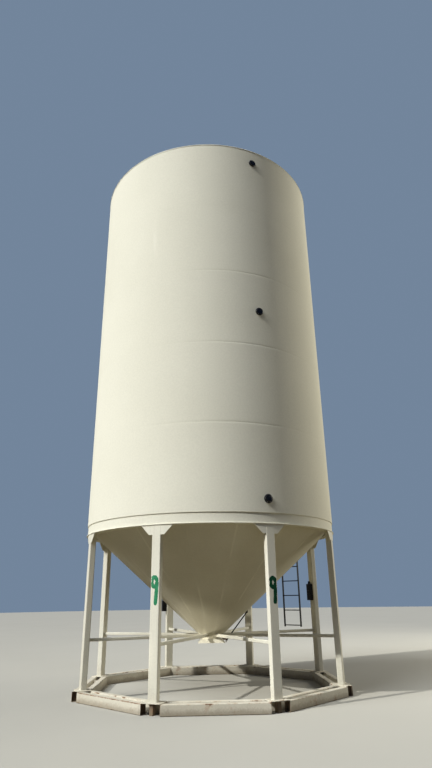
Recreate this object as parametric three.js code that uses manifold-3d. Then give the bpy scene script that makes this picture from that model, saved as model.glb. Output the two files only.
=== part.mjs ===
// Hopper-bottom grain silo: a skid of double rails, eight braced legs, a steep cone, a round
// wall of rolled sheets and a cone roof.
// Millimetres, +Z up, front towards -Y, origin on the ground below the middle of the hopper.
// Azimuths turn from the front (-Y) towards +X. In a turned group -Y points outwards.
import * as THREE from 'three';
import { mergeVertices } from 'three/addons/utils/BufferGeometryUtils.js';
import Module from 'manifold-3d';

const wasm = await Module();
wasm.setup();

// Common values
const FACETS = 64;
const FITTING_FACETS = 20;
const BAR_FACETS = 8;
const RUNG_FACETS = 6;
const SIDES = 8;
const BAY = 2 * Math.PI / SIDES;
const SEAT_GAP = 0.3;
const OVERLAP = 1;

// Skid: an octagon of outer and inner rails
const RAIL_WIDTH = 102;
const RAIL_HEIGHT = 152;
const RAIL_SPACING = 94;
const SKID_APOTHEM = 2341;
const RUN_PAST = 976;
const STOP_SHORT = 800;
const SPACER_WIDTH = 76;
const SPACER_HEIGHT = 102;
const SPACER_OFFSET = 450;

// Legs with foot plate and gusset
const LEG_FACE_RADIUS = 2410;
const LEG_WIDTH = 152;
const LEG_DEPTH = 102;
const FOOT_PLATE = { width: 320, inner: 2235, outer: 2475, thickness: 12 };
const FOOT_STUB = { width: 60, inner: 2337, outer: 2437 };
const GUSSET = { radius: 2409, top: 580, bottom: 270, height: 155, thickness: 12 };

// Ring beam under the wall
const BEAM_BOTTOM = 2676;
const BEAM_TOP = 2865;
const BEAM_PLATE = 12;
const BEAM_LIP_RADIUS = 2422;
const BEAM_WEB_RADIUS = 2400;
const BEAM_TOE_RADIUS = 2275;
const BEAM_SHELF_RADIUS = 2340;

// Hopper, its outlet and the braces that steady it
const CONE_SLOPE = THREE.MathUtils.degToRad(41);
const CONE_SHEET = 6;
const NECK_RADIUS = 188;
const NECK_TOP = 888;
const NECK_BOTTOM = 848;
const BRACE_SIZE = 51;
const BRACE_MIDDLE = 914;
const SKIRT = { top: 400, bottom: 500, underside: 786, sheet: 6 };
const GATE = { width: 380, back: -185, front: 280, thickness: 8, lip: 60, lipPlate: 12, lipWidth: 120 };
const ROD = { diameter: 22, end: 32, low: [290, 826], high: [686, 1300], lug: 70 };

// Wall sheets and roof. The seams are a sheet's height apart, and the last course is taller.
const WALL_RADIUS = 2413;
const WALL_SHEET = 6;
const SEAMS = 4;
const FIRST_SEAM = 4368;
const SHEET_HEIGHT = 1516;
const EAVE = 10505;
const ROOF_SLOPE = THREE.MathUtils.degToRad(30);
const ROOF_SHEET = 6;
const DRIP_EDGE = { radius: 2420, inner: 2414, height: 10 };
const FILL_NECK = { radius: 276, height: 150 };
const LID = { radius: 292, sheet: 5, skirt: 45, rise: 70 };

// Fittings
const VENT = { azimuth: 127, radius: 2050, stub: 160, hood: 230, clearance: 150, dome: 170 };
const SIGHT_GLASS = { azimuth: 22.2, heights: [3079, 6588, 10170], rim: 76, glass: 60, depth: 26, bulge: 6 };
const LADDER = {
  azimuth: 134.4, halfWidth: 218, standOff: 180, rail: [10, 50], rung: 20, firstRung: 970, rungStep: 306,
  rungs: 32, below: 33, top: 10655, brackets: [3000, 4800, 6600, 8400, 10200], bracket: [50, 6],
};
const SWITCH_BOX = { leg: 4, width: 110, depth: 85, bottom: 1483, height: 320, stub: 48, stubTop: 1856 };
const JUNCTION_BOX = { leg: 6, width: 80, depth: 100, bottom: 1286, height: 230 };

// Heights that follow
const skidTop = RAIL_HEIGHT;
const footTop = skidTop + FOOT_PLATE.thickness;
const flangeTop = BEAM_BOTTOM + BEAM_PLATE;
const legInnerRadius = LEG_FACE_RADIUS - LEG_DEPTH;

const steelWhite = new THREE.MeshStandardMaterial({ color: 0xe9e4cf, roughness: 0.35, metalness: 0.0 });
const steelSkid = new THREE.MeshStandardMaterial({ color: 0xd6cdb6, roughness: 0.7, metalness: 0.0 });
const steelDark = new THREE.MeshStandardMaterial({ color: 0x1b2126, roughness: 0.6, metalness: 0.2 });
const steelBare = new THREE.MeshStandardMaterial({ color: 0x77756f, roughness: 0.55, metalness: 0.8 });
const darkGlass = new THREE.MeshStandardMaterial({ color: 0x0d0f11, roughness: 0.2, metalness: 0.0 });
const blackPlastic = new THREE.MeshStandardMaterial({ color: 0x101112, roughness: 0.6, metalness: 0.0 });

const silo = new THREE.Group();

// Adds one named piece, in a group turned to its azimuth.
function addPiece(name, geometry, material, azimuth = 0) {
  const holder = new THREE.Group();
  holder.rotation.z = azimuth;
  const piece = new THREE.Mesh(geometry, material);
  piece.name = name;
  holder.add(piece);
  silo.add(holder);
}

// A solid for joining and cutting, with shared vertices merged and flat triangles dropped.
function toSolid(geometry) {
  const bare = geometry.clone();
  bare.deleteAttribute('normal');
  bare.deleteAttribute('uv');
  const merged = mergeVertices(bare, 0.01);
  const triangles = [];
  for (let i = 0; i < merged.index.count; i += 3) {
    const [a, b, c] = [0, 1, 2].map((k) => merged.index.getX(i + k));
    if (a !== b && b !== c && c !== a) triangles.push(a, b, c);
  }
  const vertProperties = new Float32Array(merged.attributes.position.array);
  const triVerts = new Uint32Array(triangles);
  return new wasm.Manifold(new wasm.Mesh({ numProp: 3, vertProperties, triVerts }));
}

function toGeometry(shape) {
  const mesh = shape.getMesh();
  const geometry = new THREE.BufferGeometry();
  geometry.setAttribute('position', new THREE.BufferAttribute(new Float32Array(mesh.vertProperties), 3));
  geometry.setIndex(new THREE.BufferAttribute(new Uint32Array(mesh.triVerts), 1));
  geometry.computeVertexNormals();
  return geometry;
}

// Joins geometries into one solid.
function weld(...geometries) {
  return geometries.map(toSolid).reduce((whole, next) => whole.add(next));
}

// Turns a profile of [radius, height] points round the silo's axis.
function revolve(profile, sides = FACETS) {
  const points = profile.map(([radius, height]) => new THREE.Vector2(radius, height));
  return new THREE.LatheGeometry(points, sides).rotateX(Math.PI / 2);
}

// A ring closes its profile on itself.
function ring(profile, sides = FACETS) {
  return revolve([...profile, profile[0]], sides);
}

// A box given by its low and high corners.
function box(low, high) {
  const size = high.map((value, axis) => value - low[axis]);
  const middle = high.map((value, axis) => (value + low[axis]) / 2);
  return new THREE.BoxGeometry(...size).translate(...middle);
}

// A plate outline in plan, raised from one height to another.
function slab(outline, bottom, top) {
  const shape = new THREE.Shape(outline.map(([x, y]) => new THREE.Vector2(x, y)));
  const raised = new THREE.ExtrudeGeometry(shape, { depth: top - bottom, bevelEnabled: false });
  return raised.translate(0, 0, bottom);
}

// A round bar between two points.
function bar(from, to, diameter, sides = BAR_FACETS) {
  const start = new THREE.Vector3(...from);
  const along = new THREE.Vector3(...to).sub(start);
  const upright = new THREE.Vector3(0, 1, 0);
  const turn = new THREE.Quaternion().setFromUnitVectors(upright, along.clone().normalize());
  const rod = new THREE.CylinderGeometry(diameter / 2, diameter / 2, along.length(), sides);
  return rod.applyQuaternion(turn).translate(...start.addScaledVector(along, 0.5).toArray());
}

// Height of the hopper's outer face at a radius.
const coneHeight = (radius) => NECK_TOP + (radius - NECK_RADIUS) * Math.tan(CONE_SLOPE);

// Height of the roof's outer face at a radius.
const roofSag = ROOF_SHEET / Math.cos(ROOF_SLOPE);
const roofEdge = EAVE + SEAT_GAP + roofSag - (DRIP_EDGE.radius - WALL_RADIUS) * Math.tan(ROOF_SLOPE);
const roofHeight = (radius) => roofEdge + (DRIP_EDGE.radius - radius) * Math.tan(ROOF_SLOPE);

// Filled bodies that seat other pieces: each is a seat gap larger than the sheet it follows.
const coneSeatRadius = SEAT_GAP / Math.sin(CONE_SLOPE);
const coneBody = toSolid(revolve([
  [0, 0],
  [NECK_RADIUS + SEAT_GAP, 0],
  [NECK_RADIUS + coneSeatRadius, NECK_TOP],
  [WALL_RADIUS, coneHeight(WALL_RADIUS - coneSeatRadius)],
  [0, coneHeight(WALL_RADIUS - coneSeatRadius)],
]));
const wallBody = toSolid(revolve([
  [0, 0],
  [WALL_RADIUS + SEAT_GAP, 0],
  [WALL_RADIUS + SEAT_GAP, EAVE],
  [0, EAVE],
]));
const roofBody = toSolid(revolve([
  [0, 0],
  [DRIP_EDGE.radius, 0],
  [DRIP_EDGE.radius, roofEdge + SEAT_GAP],
  [0, roofHeight(0) + SEAT_GAP],
]));

// A filled body seen from a group that is turned to an azimuth.
const seenFrom = (body, azimuth) => body.rotate([0, 0, -THREE.MathUtils.radToDeg(azimuth)]);

// Skid sides. Next to the front and back sides the outer rails stop short, which leaves an open
// pocket under the foot plate. At the other corners the outer rail on the left or right runs past
// its neighbour, which butts against it. Inner rails are mitred.
const outerRailIn = SKID_APOTHEM - RAIL_WIDTH;
const innerRailOut = outerRailIn - RAIL_SPACING;
const innerRailIn = innerRailOut - RAIL_WIDTH;

const sideways = (side) => Math.abs(Math.sin(side * BAY));
const frontOrBack = (side) => side % (SIDES / 2) === 0;

function buttingReach(apothem) {
  return (outerRailIn - SEAT_GAP - apothem * Math.cos(BAY)) / Math.sin(BAY);
}

function outerRailEnd(side, neighbour) {
  if (frontOrBack(side) || frontOrBack(neighbour)) return [STOP_SHORT, STOP_SHORT];
  const past = sideways(side) > sideways(neighbour);
  return past ? [RUN_PAST, RUN_PAST] : [buttingReach(SKID_APOTHEM), buttingReach(outerRailIn)];
}

function mitreReach(apothem) {
  return apothem * Math.tan(BAY / 2) - SEAT_GAP / 2;
}

function skidSide(side) {
  const [leftOut, leftIn] = outerRailEnd(side, side - 1);
  const [rightOut, rightIn] = outerRailEnd(side, side + 1);
  const outer = slab([
    [-leftOut, -SKID_APOTHEM],
    [rightOut, -SKID_APOTHEM],
    [rightIn, -outerRailIn],
    [-leftIn, -outerRailIn],
  ], 0, skidTop);
  const inner = slab([
    [-mitreReach(innerRailOut), -innerRailOut],
    [mitreReach(innerRailOut), -innerRailOut],
    [mitreReach(innerRailIn), -innerRailIn],
    [-mitreReach(innerRailIn), -innerRailIn],
  ], 0, skidTop);
  const spacers = [-1, 1].map((hand) => {
    const x = hand * SPACER_OFFSET;
    const low = (skidTop - SPACER_HEIGHT) / 2;
    return box(
      [x - SPACER_WIDTH / 2, -outerRailIn - OVERLAP, low],
      [x + SPACER_WIDTH / 2, -innerRailOut + OVERLAP, low + SPACER_HEIGHT],
    );
  });
  return toGeometry(weld(outer, inner, ...spacers));
}

for (let side = 0; side < SIDES; side += 1) {
  addPiece(`skid_side_${side + 1}`, skidSide(side), steelSkid, side * BAY);
}

// A leg stands on its foot plate over the skid's corner. Its gusset follows the ring beam. Over an
// open pocket, a stub below the plate reaches the ground.
function legWithGusset(overPocket) {
  const legTop = BEAM_BOTTOM - SEAT_GAP;
  const plate = box(
    [-FOOT_PLATE.width / 2, -FOOT_PLATE.outer, skidTop + SEAT_GAP],
    [FOOT_PLATE.width / 2, -FOOT_PLATE.inner, footTop],
  );
  const post = box(
    [-LEG_WIDTH / 2, -LEG_FACE_RADIUS, footTop - OVERLAP],
    [LEG_WIDTH / 2, -legInnerRadius, legTop],
  );
  const gussetLow = legTop - GUSSET.height;
  const outline = slab([
    [-GUSSET.bottom / 2, gussetLow],
    [GUSSET.bottom / 2, gussetLow],
    [GUSSET.top / 2, legTop],
    [-GUSSET.top / 2, legTop],
  ], 0, LEG_FACE_RADIUS + LEG_DEPTH).rotateX(Math.PI / 2);
  const rolled = ring([
    [GUSSET.radius - GUSSET.thickness, 0],
    [GUSSET.radius, 0],
    [GUSSET.radius, BEAM_TOP],
    [GUSSET.radius - GUSSET.thickness, BEAM_TOP],
  ]);
  const gusset = toSolid(outline).intersect(toSolid(rolled));
  const stub = box(
    [-FOOT_STUB.width / 2, -FOOT_STUB.outer, 0],
    [FOOT_STUB.width / 2, -FOOT_STUB.inner, skidTop + SEAT_GAP + OVERLAP],
  );
  const foot = overPocket ? weld(plate, post, stub) : weld(plate, post);
  return toGeometry(foot.add(gusset));
}

// A brace runs level from the leg's inner face to the hopper.
function braceToHopper() {
  const low = BRACE_MIDDLE - BRACE_SIZE / 2;
  const tube = box(
    [-BRACE_SIZE / 2, -legInnerRadius + SEAT_GAP, low],
    [BRACE_SIZE / 2, -NECK_RADIUS / 2, low + BRACE_SIZE],
  );
  return toGeometry(toSolid(tube).subtract(coneBody));
}

const legGeometry = legWithGusset(false);
const pocketLegGeometry = legWithGusset(true);
const braceGeometry = braceToHopper();
const legAzimuth = (leg) => (leg - 1.5) * BAY;
for (let leg = 1; leg <= SIDES; leg += 1) {
  const overPocket = frontOrBack(leg - 1) || frontOrBack(leg - 2);
  addPiece(`leg_${leg}`, overPocket ? pocketLegGeometry : legGeometry, steelWhite, legAzimuth(leg));
  addPiece(`brace_${leg}`, braceGeometry, steelWhite, legAzimuth(leg));
}

// Rolled ring beam: a flange on the legs with a narrow lip, a web, and a shelf that carries the wall
addPiece('ring_beam', ring([
  [BEAM_TOE_RADIUS, BEAM_BOTTOM],
  [BEAM_LIP_RADIUS, BEAM_BOTTOM],
  [BEAM_LIP_RADIUS, flangeTop],
  [BEAM_WEB_RADIUS, flangeTop],
  [BEAM_WEB_RADIUS, BEAM_TOP - BEAM_PLATE],
  [WALL_RADIUS, BEAM_TOP - BEAM_PLATE],
  [WALL_RADIUS, BEAM_TOP],
  [BEAM_SHELF_RADIUS, BEAM_TOP],
  [BEAM_SHELF_RADIUS, BEAM_TOP - BEAM_PLATE],
  [BEAM_WEB_RADIUS - BEAM_PLATE, BEAM_TOP - BEAM_PLATE],
  [BEAM_WEB_RADIUS - BEAM_PLATE, flangeTop],
  [BEAM_TOE_RADIUS, flangeTop],
]), steelWhite);

// Hopper cone and its short neck, hung inside the ring beam's web
const coneRim = BEAM_WEB_RADIUS - BEAM_PLATE - SEAT_GAP;
const coneOffset = CONE_SHEET / Math.sin(CONE_SLOPE);
const neckInner = NECK_RADIUS - CONE_SHEET;
addPiece('hopper_cone', ring([
  [neckInner, NECK_BOTTOM + SEAT_GAP],
  [NECK_RADIUS, NECK_BOTTOM + SEAT_GAP],
  [NECK_RADIUS, NECK_TOP],
  [coneRim, coneHeight(coneRim)],
  [coneRim - coneOffset, coneHeight(coneRim)],
  [neckInner, coneHeight(neckInner + coneOffset)],
]), steelWhite);

// Square frustum, as the outlet skirt's outer or inner face
function frustum(topWidth, bottomWidth, bottom, top) {
  const half = Math.SQRT1_2;
  return new THREE.CylinderGeometry(topWidth * half, bottomWidth * half, top - bottom, 4)
    .rotateY(Math.PI / 4)
    .rotateX(Math.PI / 2)
    .translate(0, 0, (top + bottom) / 2);
}

// Outlet skirt: a flared box under the neck, with a hole on top and a slot for the slide gate
const gateTop = NECK_BOTTOM - SKIRT.sheet - SEAT_GAP;
const gateBottom = gateTop - GATE.thickness;
const flare = (SKIRT.bottom - SKIRT.top) / (NECK_BOTTOM - SKIRT.underside);
const skirtWidth = (height) => SKIRT.top + (NECK_BOTTOM - height) * flare;

function outletSkirt() {
  const shell = toSolid(frustum(SKIRT.top, SKIRT.bottom, SKIRT.underside, NECK_BOTTOM));
  const ceiling = NECK_BOTTOM - SKIRT.sheet;
  const floor = SKIRT.underside - OVERLAP;
  const inside = frustum(
    skirtWidth(ceiling) - 2 * SKIRT.sheet,
    skirtWidth(floor) - 2 * SKIRT.sheet,
    floor,
    ceiling,
  );
  const hole = revolve([
    [0, gateBottom],
    [neckInner, gateBottom],
    [neckInner, NECK_BOTTOM + OVERLAP],
    [0, NECK_BOTTOM + OVERLAP],
  ]);
  const halfSlot = GATE.width / 2 + SEAT_GAP;
  const slot = box(
    [0, -halfSlot, gateBottom - SEAT_GAP],
    [SKIRT.bottom, halfSlot, gateTop + SEAT_GAP],
  );
  return toGeometry(shell.subtract(toSolid(inside)).subtract(toSolid(hole)).subtract(toSolid(slot)));
}

addPiece('outlet_skirt', outletSkirt(), steelWhite);

// Slide gate: a plate across the neck, with a pull lip outside the skirt
const gatePlate = box([GATE.back, -GATE.width / 2, gateBottom], [GATE.front, GATE.width / 2, gateTop]);
const gateLip = box(
  [GATE.front - GATE.lipPlate, -GATE.lipWidth / 2, gateTop - GATE.lip],
  [GATE.front, GATE.lipWidth / 2, gateTop],
);
addPiece('slide_gate', toGeometry(weld(gatePlate, gateLip)), steelBare);

// Control rod from the gate's lip up to a lug on the hopper
const [rodLowX, rodLowZ] = ROD.low;
const [rodHighX, rodHighZ] = ROD.high;
const rodShank = bar([rodLowX, 0, rodLowZ], [rodHighX, 0, rodHighZ], ROD.diameter);
const rodEye = box(
  [GATE.front + SEAT_GAP, -ROD.end / 2, rodLowZ - ROD.end / 2],
  [rodLowX + ROD.end / 2, ROD.end / 2, rodLowZ + ROD.end / 2],
);
const rodLug = box(
  [rodHighX - ROD.lug, -ROD.end / 2, rodHighZ - ROD.end / 2],
  [rodHighX + ROD.end / 2, ROD.end / 2, rodHighZ + ROD.lug / 2],
);
addPiece('gate_rod', toGeometry(weld(rodShank, rodEye, rodLug).subtract(coneBody)), steelDark);

// Wall courses, one rolled ring above another
const seams = Array.from({ length: SEAMS }, (_, seam) => FIRST_SEAM + seam * SHEET_HEIGHT);
const courseEdges = [BEAM_TOP, ...seams, EAVE];
for (let course = 0; course <= SEAMS; course += 1) {
  const low = courseEdges[course] + SEAT_GAP;
  const high = courseEdges[course + 1];
  addPiece(`wall_course_${course + 1}`, ring([
    [WALL_RADIUS - WALL_SHEET, low],
    [WALL_RADIUS, low],
    [WALL_RADIUS, high],
    [WALL_RADIUS - WALL_SHEET, high],
  ]), steelWhite);
}

// Roof: a cone with a drip edge over the wall and a filling neck at the peak
const fillTop = roofHeight(FILL_NECK.radius) + FILL_NECK.height;
const fillInner = FILL_NECK.radius - ROOF_SHEET;
addPiece('roof', ring([
  [DRIP_EDGE.inner, EAVE - DRIP_EDGE.height],
  [DRIP_EDGE.radius, EAVE - DRIP_EDGE.height],
  [DRIP_EDGE.radius, roofEdge],
  [FILL_NECK.radius, roofHeight(FILL_NECK.radius)],
  [FILL_NECK.radius, fillTop],
  [fillInner, fillTop],
  [fillInner, roofHeight(fillInner) - roofSag],
  [DRIP_EDGE.inner, roofHeight(DRIP_EDGE.inner) - roofSag],
]), steelWhite);

// Filling lid: a domed cap whose rim goes over the neck
const lidSeat = fillTop + SEAT_GAP;
const lidInner = LID.radius - LID.sheet;
const domeRings = 6;
const dome = [];
for (let step = 0; step <= domeRings; step += 1) {
  const turn = (step / domeRings) * Math.PI / 2;
  dome.push([LID.radius * Math.cos(turn), lidSeat + LID.sheet + LID.rise * Math.sin(turn)]);
}
dome[domeRings][0] = 0;
addPiece('fill_lid', revolve([
  [0, lidSeat],
  [lidInner, lidSeat],
  [lidInner, fillTop - LID.skirt],
  [LID.radius, fillTop - LID.skirt],
  ...dome,
]), steelWhite);

// Roof vents: a stub on the roof under a round hood
function roofVent(azimuth) {
  const seat = roofHeight(VENT.radius);
  const hoodLow = seat + VENT.clearance;
  const profile = [
    [0, seat - VENT.stub],
    [VENT.stub, seat - VENT.stub],
    [VENT.stub, hoodLow],
    [VENT.hood, hoodLow],
  ];
  for (let step = 0; step < domeRings; step += 1) {
    const turn = (step / domeRings) * Math.PI / 2;
    profile.push([VENT.hood * Math.cos(turn), hoodLow + VENT.dome / 3 + VENT.dome * Math.sin(turn)]);
  }
  profile.push([0, hoodLow + VENT.dome / 3 + VENT.dome]);
  const vent = revolve(profile, FITTING_FACETS).translate(0, -VENT.radius, 0);
  return toGeometry(toSolid(vent).subtract(seenFrom(roofBody, azimuth)));
}

for (const [name, hand] of [['roof_vent_left', -1], ['roof_vent_right', 1]]) {
  const azimuth = hand * THREE.MathUtils.degToRad(VENT.azimuth);
  addPiece(name, roofVent(azimuth), steelWhite, azimuth);
}

// Sight glasses: a round rim on the wall with a slightly proud glass
function sightGlass(height, azimuth) {
  const face = WALL_RADIUS + SIGHT_GLASS.depth;
  const behind = -WALL_RADIUS + SIGHT_GLASS.rim;
  const bulge = -face - SIGHT_GLASS.bulge;
  const rim = bar([0, behind, height], [0, -face, height], 2 * SIGHT_GLASS.rim, FITTING_FACETS);
  const glass = bar([0, behind, height], [0, bulge, height], 2 * SIGHT_GLASS.glass, FITTING_FACETS);
  return toGeometry(weld(rim, glass).subtract(seenFrom(wallBody, azimuth)));
}

SIGHT_GLASS.heights.forEach((height, index) => {
  const azimuth = THREE.MathUtils.degToRad(SIGHT_GLASS.azimuth);
  addPiece(`sight_glass_${index + 1}`, sightGlass(height, azimuth), darkGlass, azimuth);
});

// Wall ladder: two flat rails, round rungs, and brackets back to the wall
function wallLadder(azimuth) {
  const line = -(WALL_RADIUS + LADDER.standOff);
  const [railWidth, railDepth] = LADDER.rail;
  const [bracketHeight, bracketPlate] = LADDER.bracket;
  const pieces = [];
  for (const hand of [-1, 1]) {
    const x = hand * LADDER.halfWidth;
    pieces.push(box(
      [x - railWidth / 2, line - railDepth / 2, LADDER.firstRung - LADDER.below],
      [x + railWidth / 2, line + railDepth / 2, LADDER.top],
    ));
    for (const height of LADDER.brackets) {
      pieces.push(box(
        [x - bracketPlate / 2, line, height - bracketHeight / 2],
        [x + bracketPlate / 2, line + LADDER.standOff + LADDER.rung, height + bracketHeight / 2],
      ));
    }
  }
  for (let rung = 0; rung < LADDER.rungs; rung += 1) {
    const height = LADDER.firstRung + rung * LADDER.rungStep;
    const [left, right] = [-1, 1].map((hand) => [hand * LADDER.halfWidth, line, height]);
    pieces.push(bar(left, right, LADDER.rung, RUNG_FACETS));
  }
  return toGeometry(weld(...pieces).subtract(seenFrom(wallBody, azimuth)));
}

const ladderAzimuth = THREE.MathUtils.degToRad(LADDER.azimuth);
addPiece('ladder', wallLadder(ladderAzimuth), steelDark, ladderAzimuth);

// Electric boxes: one on the inner face of a leg, a smaller one on the side of another
const boxFace = -legInnerRadius + SEAT_GAP;
const switchCase = box(
  [-SWITCH_BOX.width / 2, boxFace, SWITCH_BOX.bottom],
  [SWITCH_BOX.width / 2, boxFace + SWITCH_BOX.depth, SWITCH_BOX.bottom + SWITCH_BOX.height],
);
const stubLine = boxFace + SWITCH_BOX.stub;
const switchStub = bar(
  [0, stubLine, SWITCH_BOX.bottom + SWITCH_BOX.height / 2],
  [0, stubLine, SWITCH_BOX.stubTop],
  SWITCH_BOX.stub,
);
addPiece('switch_box', toGeometry(weld(switchCase, switchStub)), blackPlastic, legAzimuth(SWITCH_BOX.leg));

const sideFace = LEG_WIDTH / 2 + SEAT_GAP;
const legLine = -LEG_FACE_RADIUS + LEG_DEPTH / 2;
const junctionTop = JUNCTION_BOX.bottom + JUNCTION_BOX.height;
const junctionCase = box(
  [sideFace, legLine - JUNCTION_BOX.width / 2, JUNCTION_BOX.bottom],
  [sideFace + JUNCTION_BOX.depth, legLine + JUNCTION_BOX.width / 2, junctionTop],
);
addPiece('junction_box', junctionCase, blackPlastic, legAzimuth(JUNCTION_BOX.leg));

export default silo;
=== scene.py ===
from math import atan2, cos, exp, hypot, pi, radians, sin, sqrt, tan, tau

import bmesh
import bpy
from mathutils import Matrix, Vector, noise


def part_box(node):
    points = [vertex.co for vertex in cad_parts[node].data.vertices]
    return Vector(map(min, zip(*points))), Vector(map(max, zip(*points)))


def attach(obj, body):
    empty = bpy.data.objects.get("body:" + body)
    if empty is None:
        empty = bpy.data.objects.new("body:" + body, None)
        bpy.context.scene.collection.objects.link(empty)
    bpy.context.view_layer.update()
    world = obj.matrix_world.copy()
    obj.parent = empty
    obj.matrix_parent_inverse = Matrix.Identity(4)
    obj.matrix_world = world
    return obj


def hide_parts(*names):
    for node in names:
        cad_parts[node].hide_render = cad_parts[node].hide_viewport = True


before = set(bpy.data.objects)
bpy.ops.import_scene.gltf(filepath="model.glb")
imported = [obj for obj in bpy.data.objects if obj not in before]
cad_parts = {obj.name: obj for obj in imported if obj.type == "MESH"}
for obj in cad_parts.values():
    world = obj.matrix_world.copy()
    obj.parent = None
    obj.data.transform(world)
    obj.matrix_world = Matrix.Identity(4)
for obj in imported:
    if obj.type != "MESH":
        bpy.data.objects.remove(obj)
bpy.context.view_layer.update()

# A hopper-bottom grain silo: skid, braced legs, ring beam, cone, welded wall and cone roof.
# Metres, +Z up, front towards -Y. Azimuths turn from the front towards +X. In a piece's own
# frame -Y points outwards and +X towards rising azimuth.

BODY = "root"
SIDES = 8
BAY = tau / SIDES
LEGS = range(1, SIDES + 1)


def low(node, axis=2):
    """Lowest coordinate of a node of the frame, upwards unless an axis is given."""
    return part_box(node)[0][axis]


def high(node, axis=2):
    """Highest coordinate of a node of the frame, upwards unless an axis is given."""
    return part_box(node)[1][axis]


def middle(node):
    return (low(node) + high(node)) / 2


# Skid and legs
SKID_TOP = high("skid_side_1")
SKID_APOTHEM = -low("skid_side_1", 1)
RAIL_WIDTH = 0.102
RAIL_GAP = 0.094
RAIL_CORNER = 0.011
RAIL_WALL = 0.007
RAIL_SILT = 0.050
OUTER_RAIL_IN = SKID_APOTHEM - RAIL_WIDTH
INNER_RAIL_OUT = OUTER_RAIL_IN - RAIL_GAP
WORN_SIDE = 7
WORN_EDGE = 1.7
RUN_PAST = high("skid_side_3", 1)
STOP_SHORT = 0.800
SPACER = (0.076, 0.102)
SPACER_OFFSET = 0.45
FOOT_PLATE = (0.320, 2.235, 2.475)
FOOT_STUB = (0.060, 2.337, 2.437)
FOOT_LOW = SKID_TOP + 0.0003
FOOT_TOP = SKID_TOP + 0.012
LEG_FACE = 2.410
LEG_SECTION = (0.152, 0.102)
LEG_INNER = LEG_FACE - LEG_SECTION[1]
LEG_LINE = LEG_FACE - LEG_SECTION[1] / 2
LEG_CORNER = 0.012
LEG_TOP = high("leg_1")
GUSSET_RADIUS = 2.409
GUSSET_TOP_WIDTH = 0.580
GUSSET_LOW_WIDTH = 0.270
GUSSET_HEIGHT = 0.155
GUSSET_PLATE = 0.012
BRACE_SIZE = high("brace_1") - low("brace_1")
BRACE_MIDDLE = middle("brace_1")
BRACE_CORNER = 0.008
PLATE_CORNER = 0.006

# Ring beam, wall and cone
BEAM_LOW = low("ring_beam")
BEAM_HIGH = high("ring_beam")
BEAM_PLATE = 0.012
BEAM_LIP = high("ring_beam", 0)
BEAM_WEB = 2.400
BEAM_TOE = 2.275
BEAM_SHELF = 2.340
WALL_RADIUS = high("wall_course_1", 0)
WALL_SHEET = 0.006
COURSES = 5
EAVE = high("wall_course_5")
SEAT = 0.0003
OVERLAP = 0.001
CONE_SLOPE = radians(41)
CONE_SHEET = 0.006
CONE_RIM = high("hopper_cone", 0)
NECK_LOW = low("hopper_cone")
NECK_RADIUS = 0.188
NECK_TOP = 0.888
NECK_HOLE = NECK_RADIUS - CONE_SHEET
CONE_SEAM_FIRST = radians(10)
CONE_SEAMS = 16

# Outlet, roof and fittings
SKIRT_TOP = 0.400
SKIRT_BOTTOM = high("outlet_skirt", 0) * 2
SKIRT_LOW = low("outlet_skirt")
SKIRT_HIGH = high("outlet_skirt")
SKIRT_SHEET = 0.006
SKIRT_CORNER = 0.010
GATE_PLATE = 0.008
GATE_LIP = (0.012, 0.120)
ROD_RADIUS = 0.011
ROD_LOW = (0.290, 0.0, 0.826)
ROD_HIGH = (0.686, 0.0, 1.300)
ROD_END = 0.032
ROD_LUG = (0.032, 0.051)
ROOF_SLOPE = radians(30)
ROOF_RADIUS = high("roof", 0)
ROOF_SHEET = 0.006
ROOF_SEAMS = 12
DRIP_HEIGHT = 0.010
DRIP_SHEET = 0.006
FILL_RADIUS = 0.276
FILL_TOP = high("roof")
LID_RADIUS = high("fill_lid", 0)
LID_LOW = low("fill_lid")
LID_HIGH = high("fill_lid")
LID_RIM = 0.005
VENT_AZIMUTH = radians(127)
VENT_LINE = 2.050
VENT_STUB = 0.160
VENT_HOOD = 0.230
VENT_CLEARANCE = 0.150
VENT_RISE = 0.170
VENT_SHEET = 0.004
VENT_TOP = high("roof_vent_left")
VENT_STRAP = (0.030, 0.005)
STRAP_TURN = 0.4
PORT_AZIMUTH = radians(22.2)
PORT_RIM = 0.076
PORT_GLASS = 0.060
PORT_DEPTH = 0.026
PORT_BULGE = 0.006
SWITCH_LEG = 4
SWITCH_CASE = (0.110, 0.320, 0.085)
JUNCTION_LEG = 6
JUNCTION_CASE = (0.080, 0.230, 0.100)
CASE_COVER = 0.022
CASE_GAP = 0.003
LATCH = (0.014, 0.040)
CONDUIT = 0.024
CONDUIT_LINE = 0.048


def shift(x=0.0, y=0.0, z=0.0):
    return Matrix.Translation((x, y, z))


def turn_round(angle, axis="Z"):
    return Matrix.Rotation(angle, 4, axis)


def polar(azimuth, radius=0.0, height=0.0):
    """Frame turned to an azimuth, with its origin at a radius and a height."""
    return turn_round(azimuth) @ shift(0, -radius, height)


def point_at(azimuth, radius, height):
    return Vector((radius * sin(azimuth), -radius * cos(azimuth), height))


def spread(first, last, steps):
    """Evenly spaced values, both ends included."""
    return [first + (last - first) * step / steps for step in range(steps + 1)]


def circle(steps):
    """Evenly spaced turns of one round."""
    return spread(0.0, tau, steps)[:-1]


def waves(turn, height, around, upwards):
    """Smooth noise round the silo's axis."""
    return noise.noise(Vector((around * cos(turn), around * sin(turn), upwards * height)))


# Turns of a section, whose own axis is Z: along the skid side, or outwards from the silo's axis
ALONG_SIDE = Matrix(((0, 0, 1, 0), (1, 0, 0, 0), (0, 1, 0, 0), (0, 0, 0, 1)))
OUTWARDS = Matrix(((1, 0, 0, 0), (0, 0, -1, 0), (0, 1, 0, 0), (0, 0, 0, 1)))


def leg_azimuth(leg):
    return (leg - 1.5) * BAY


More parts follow.
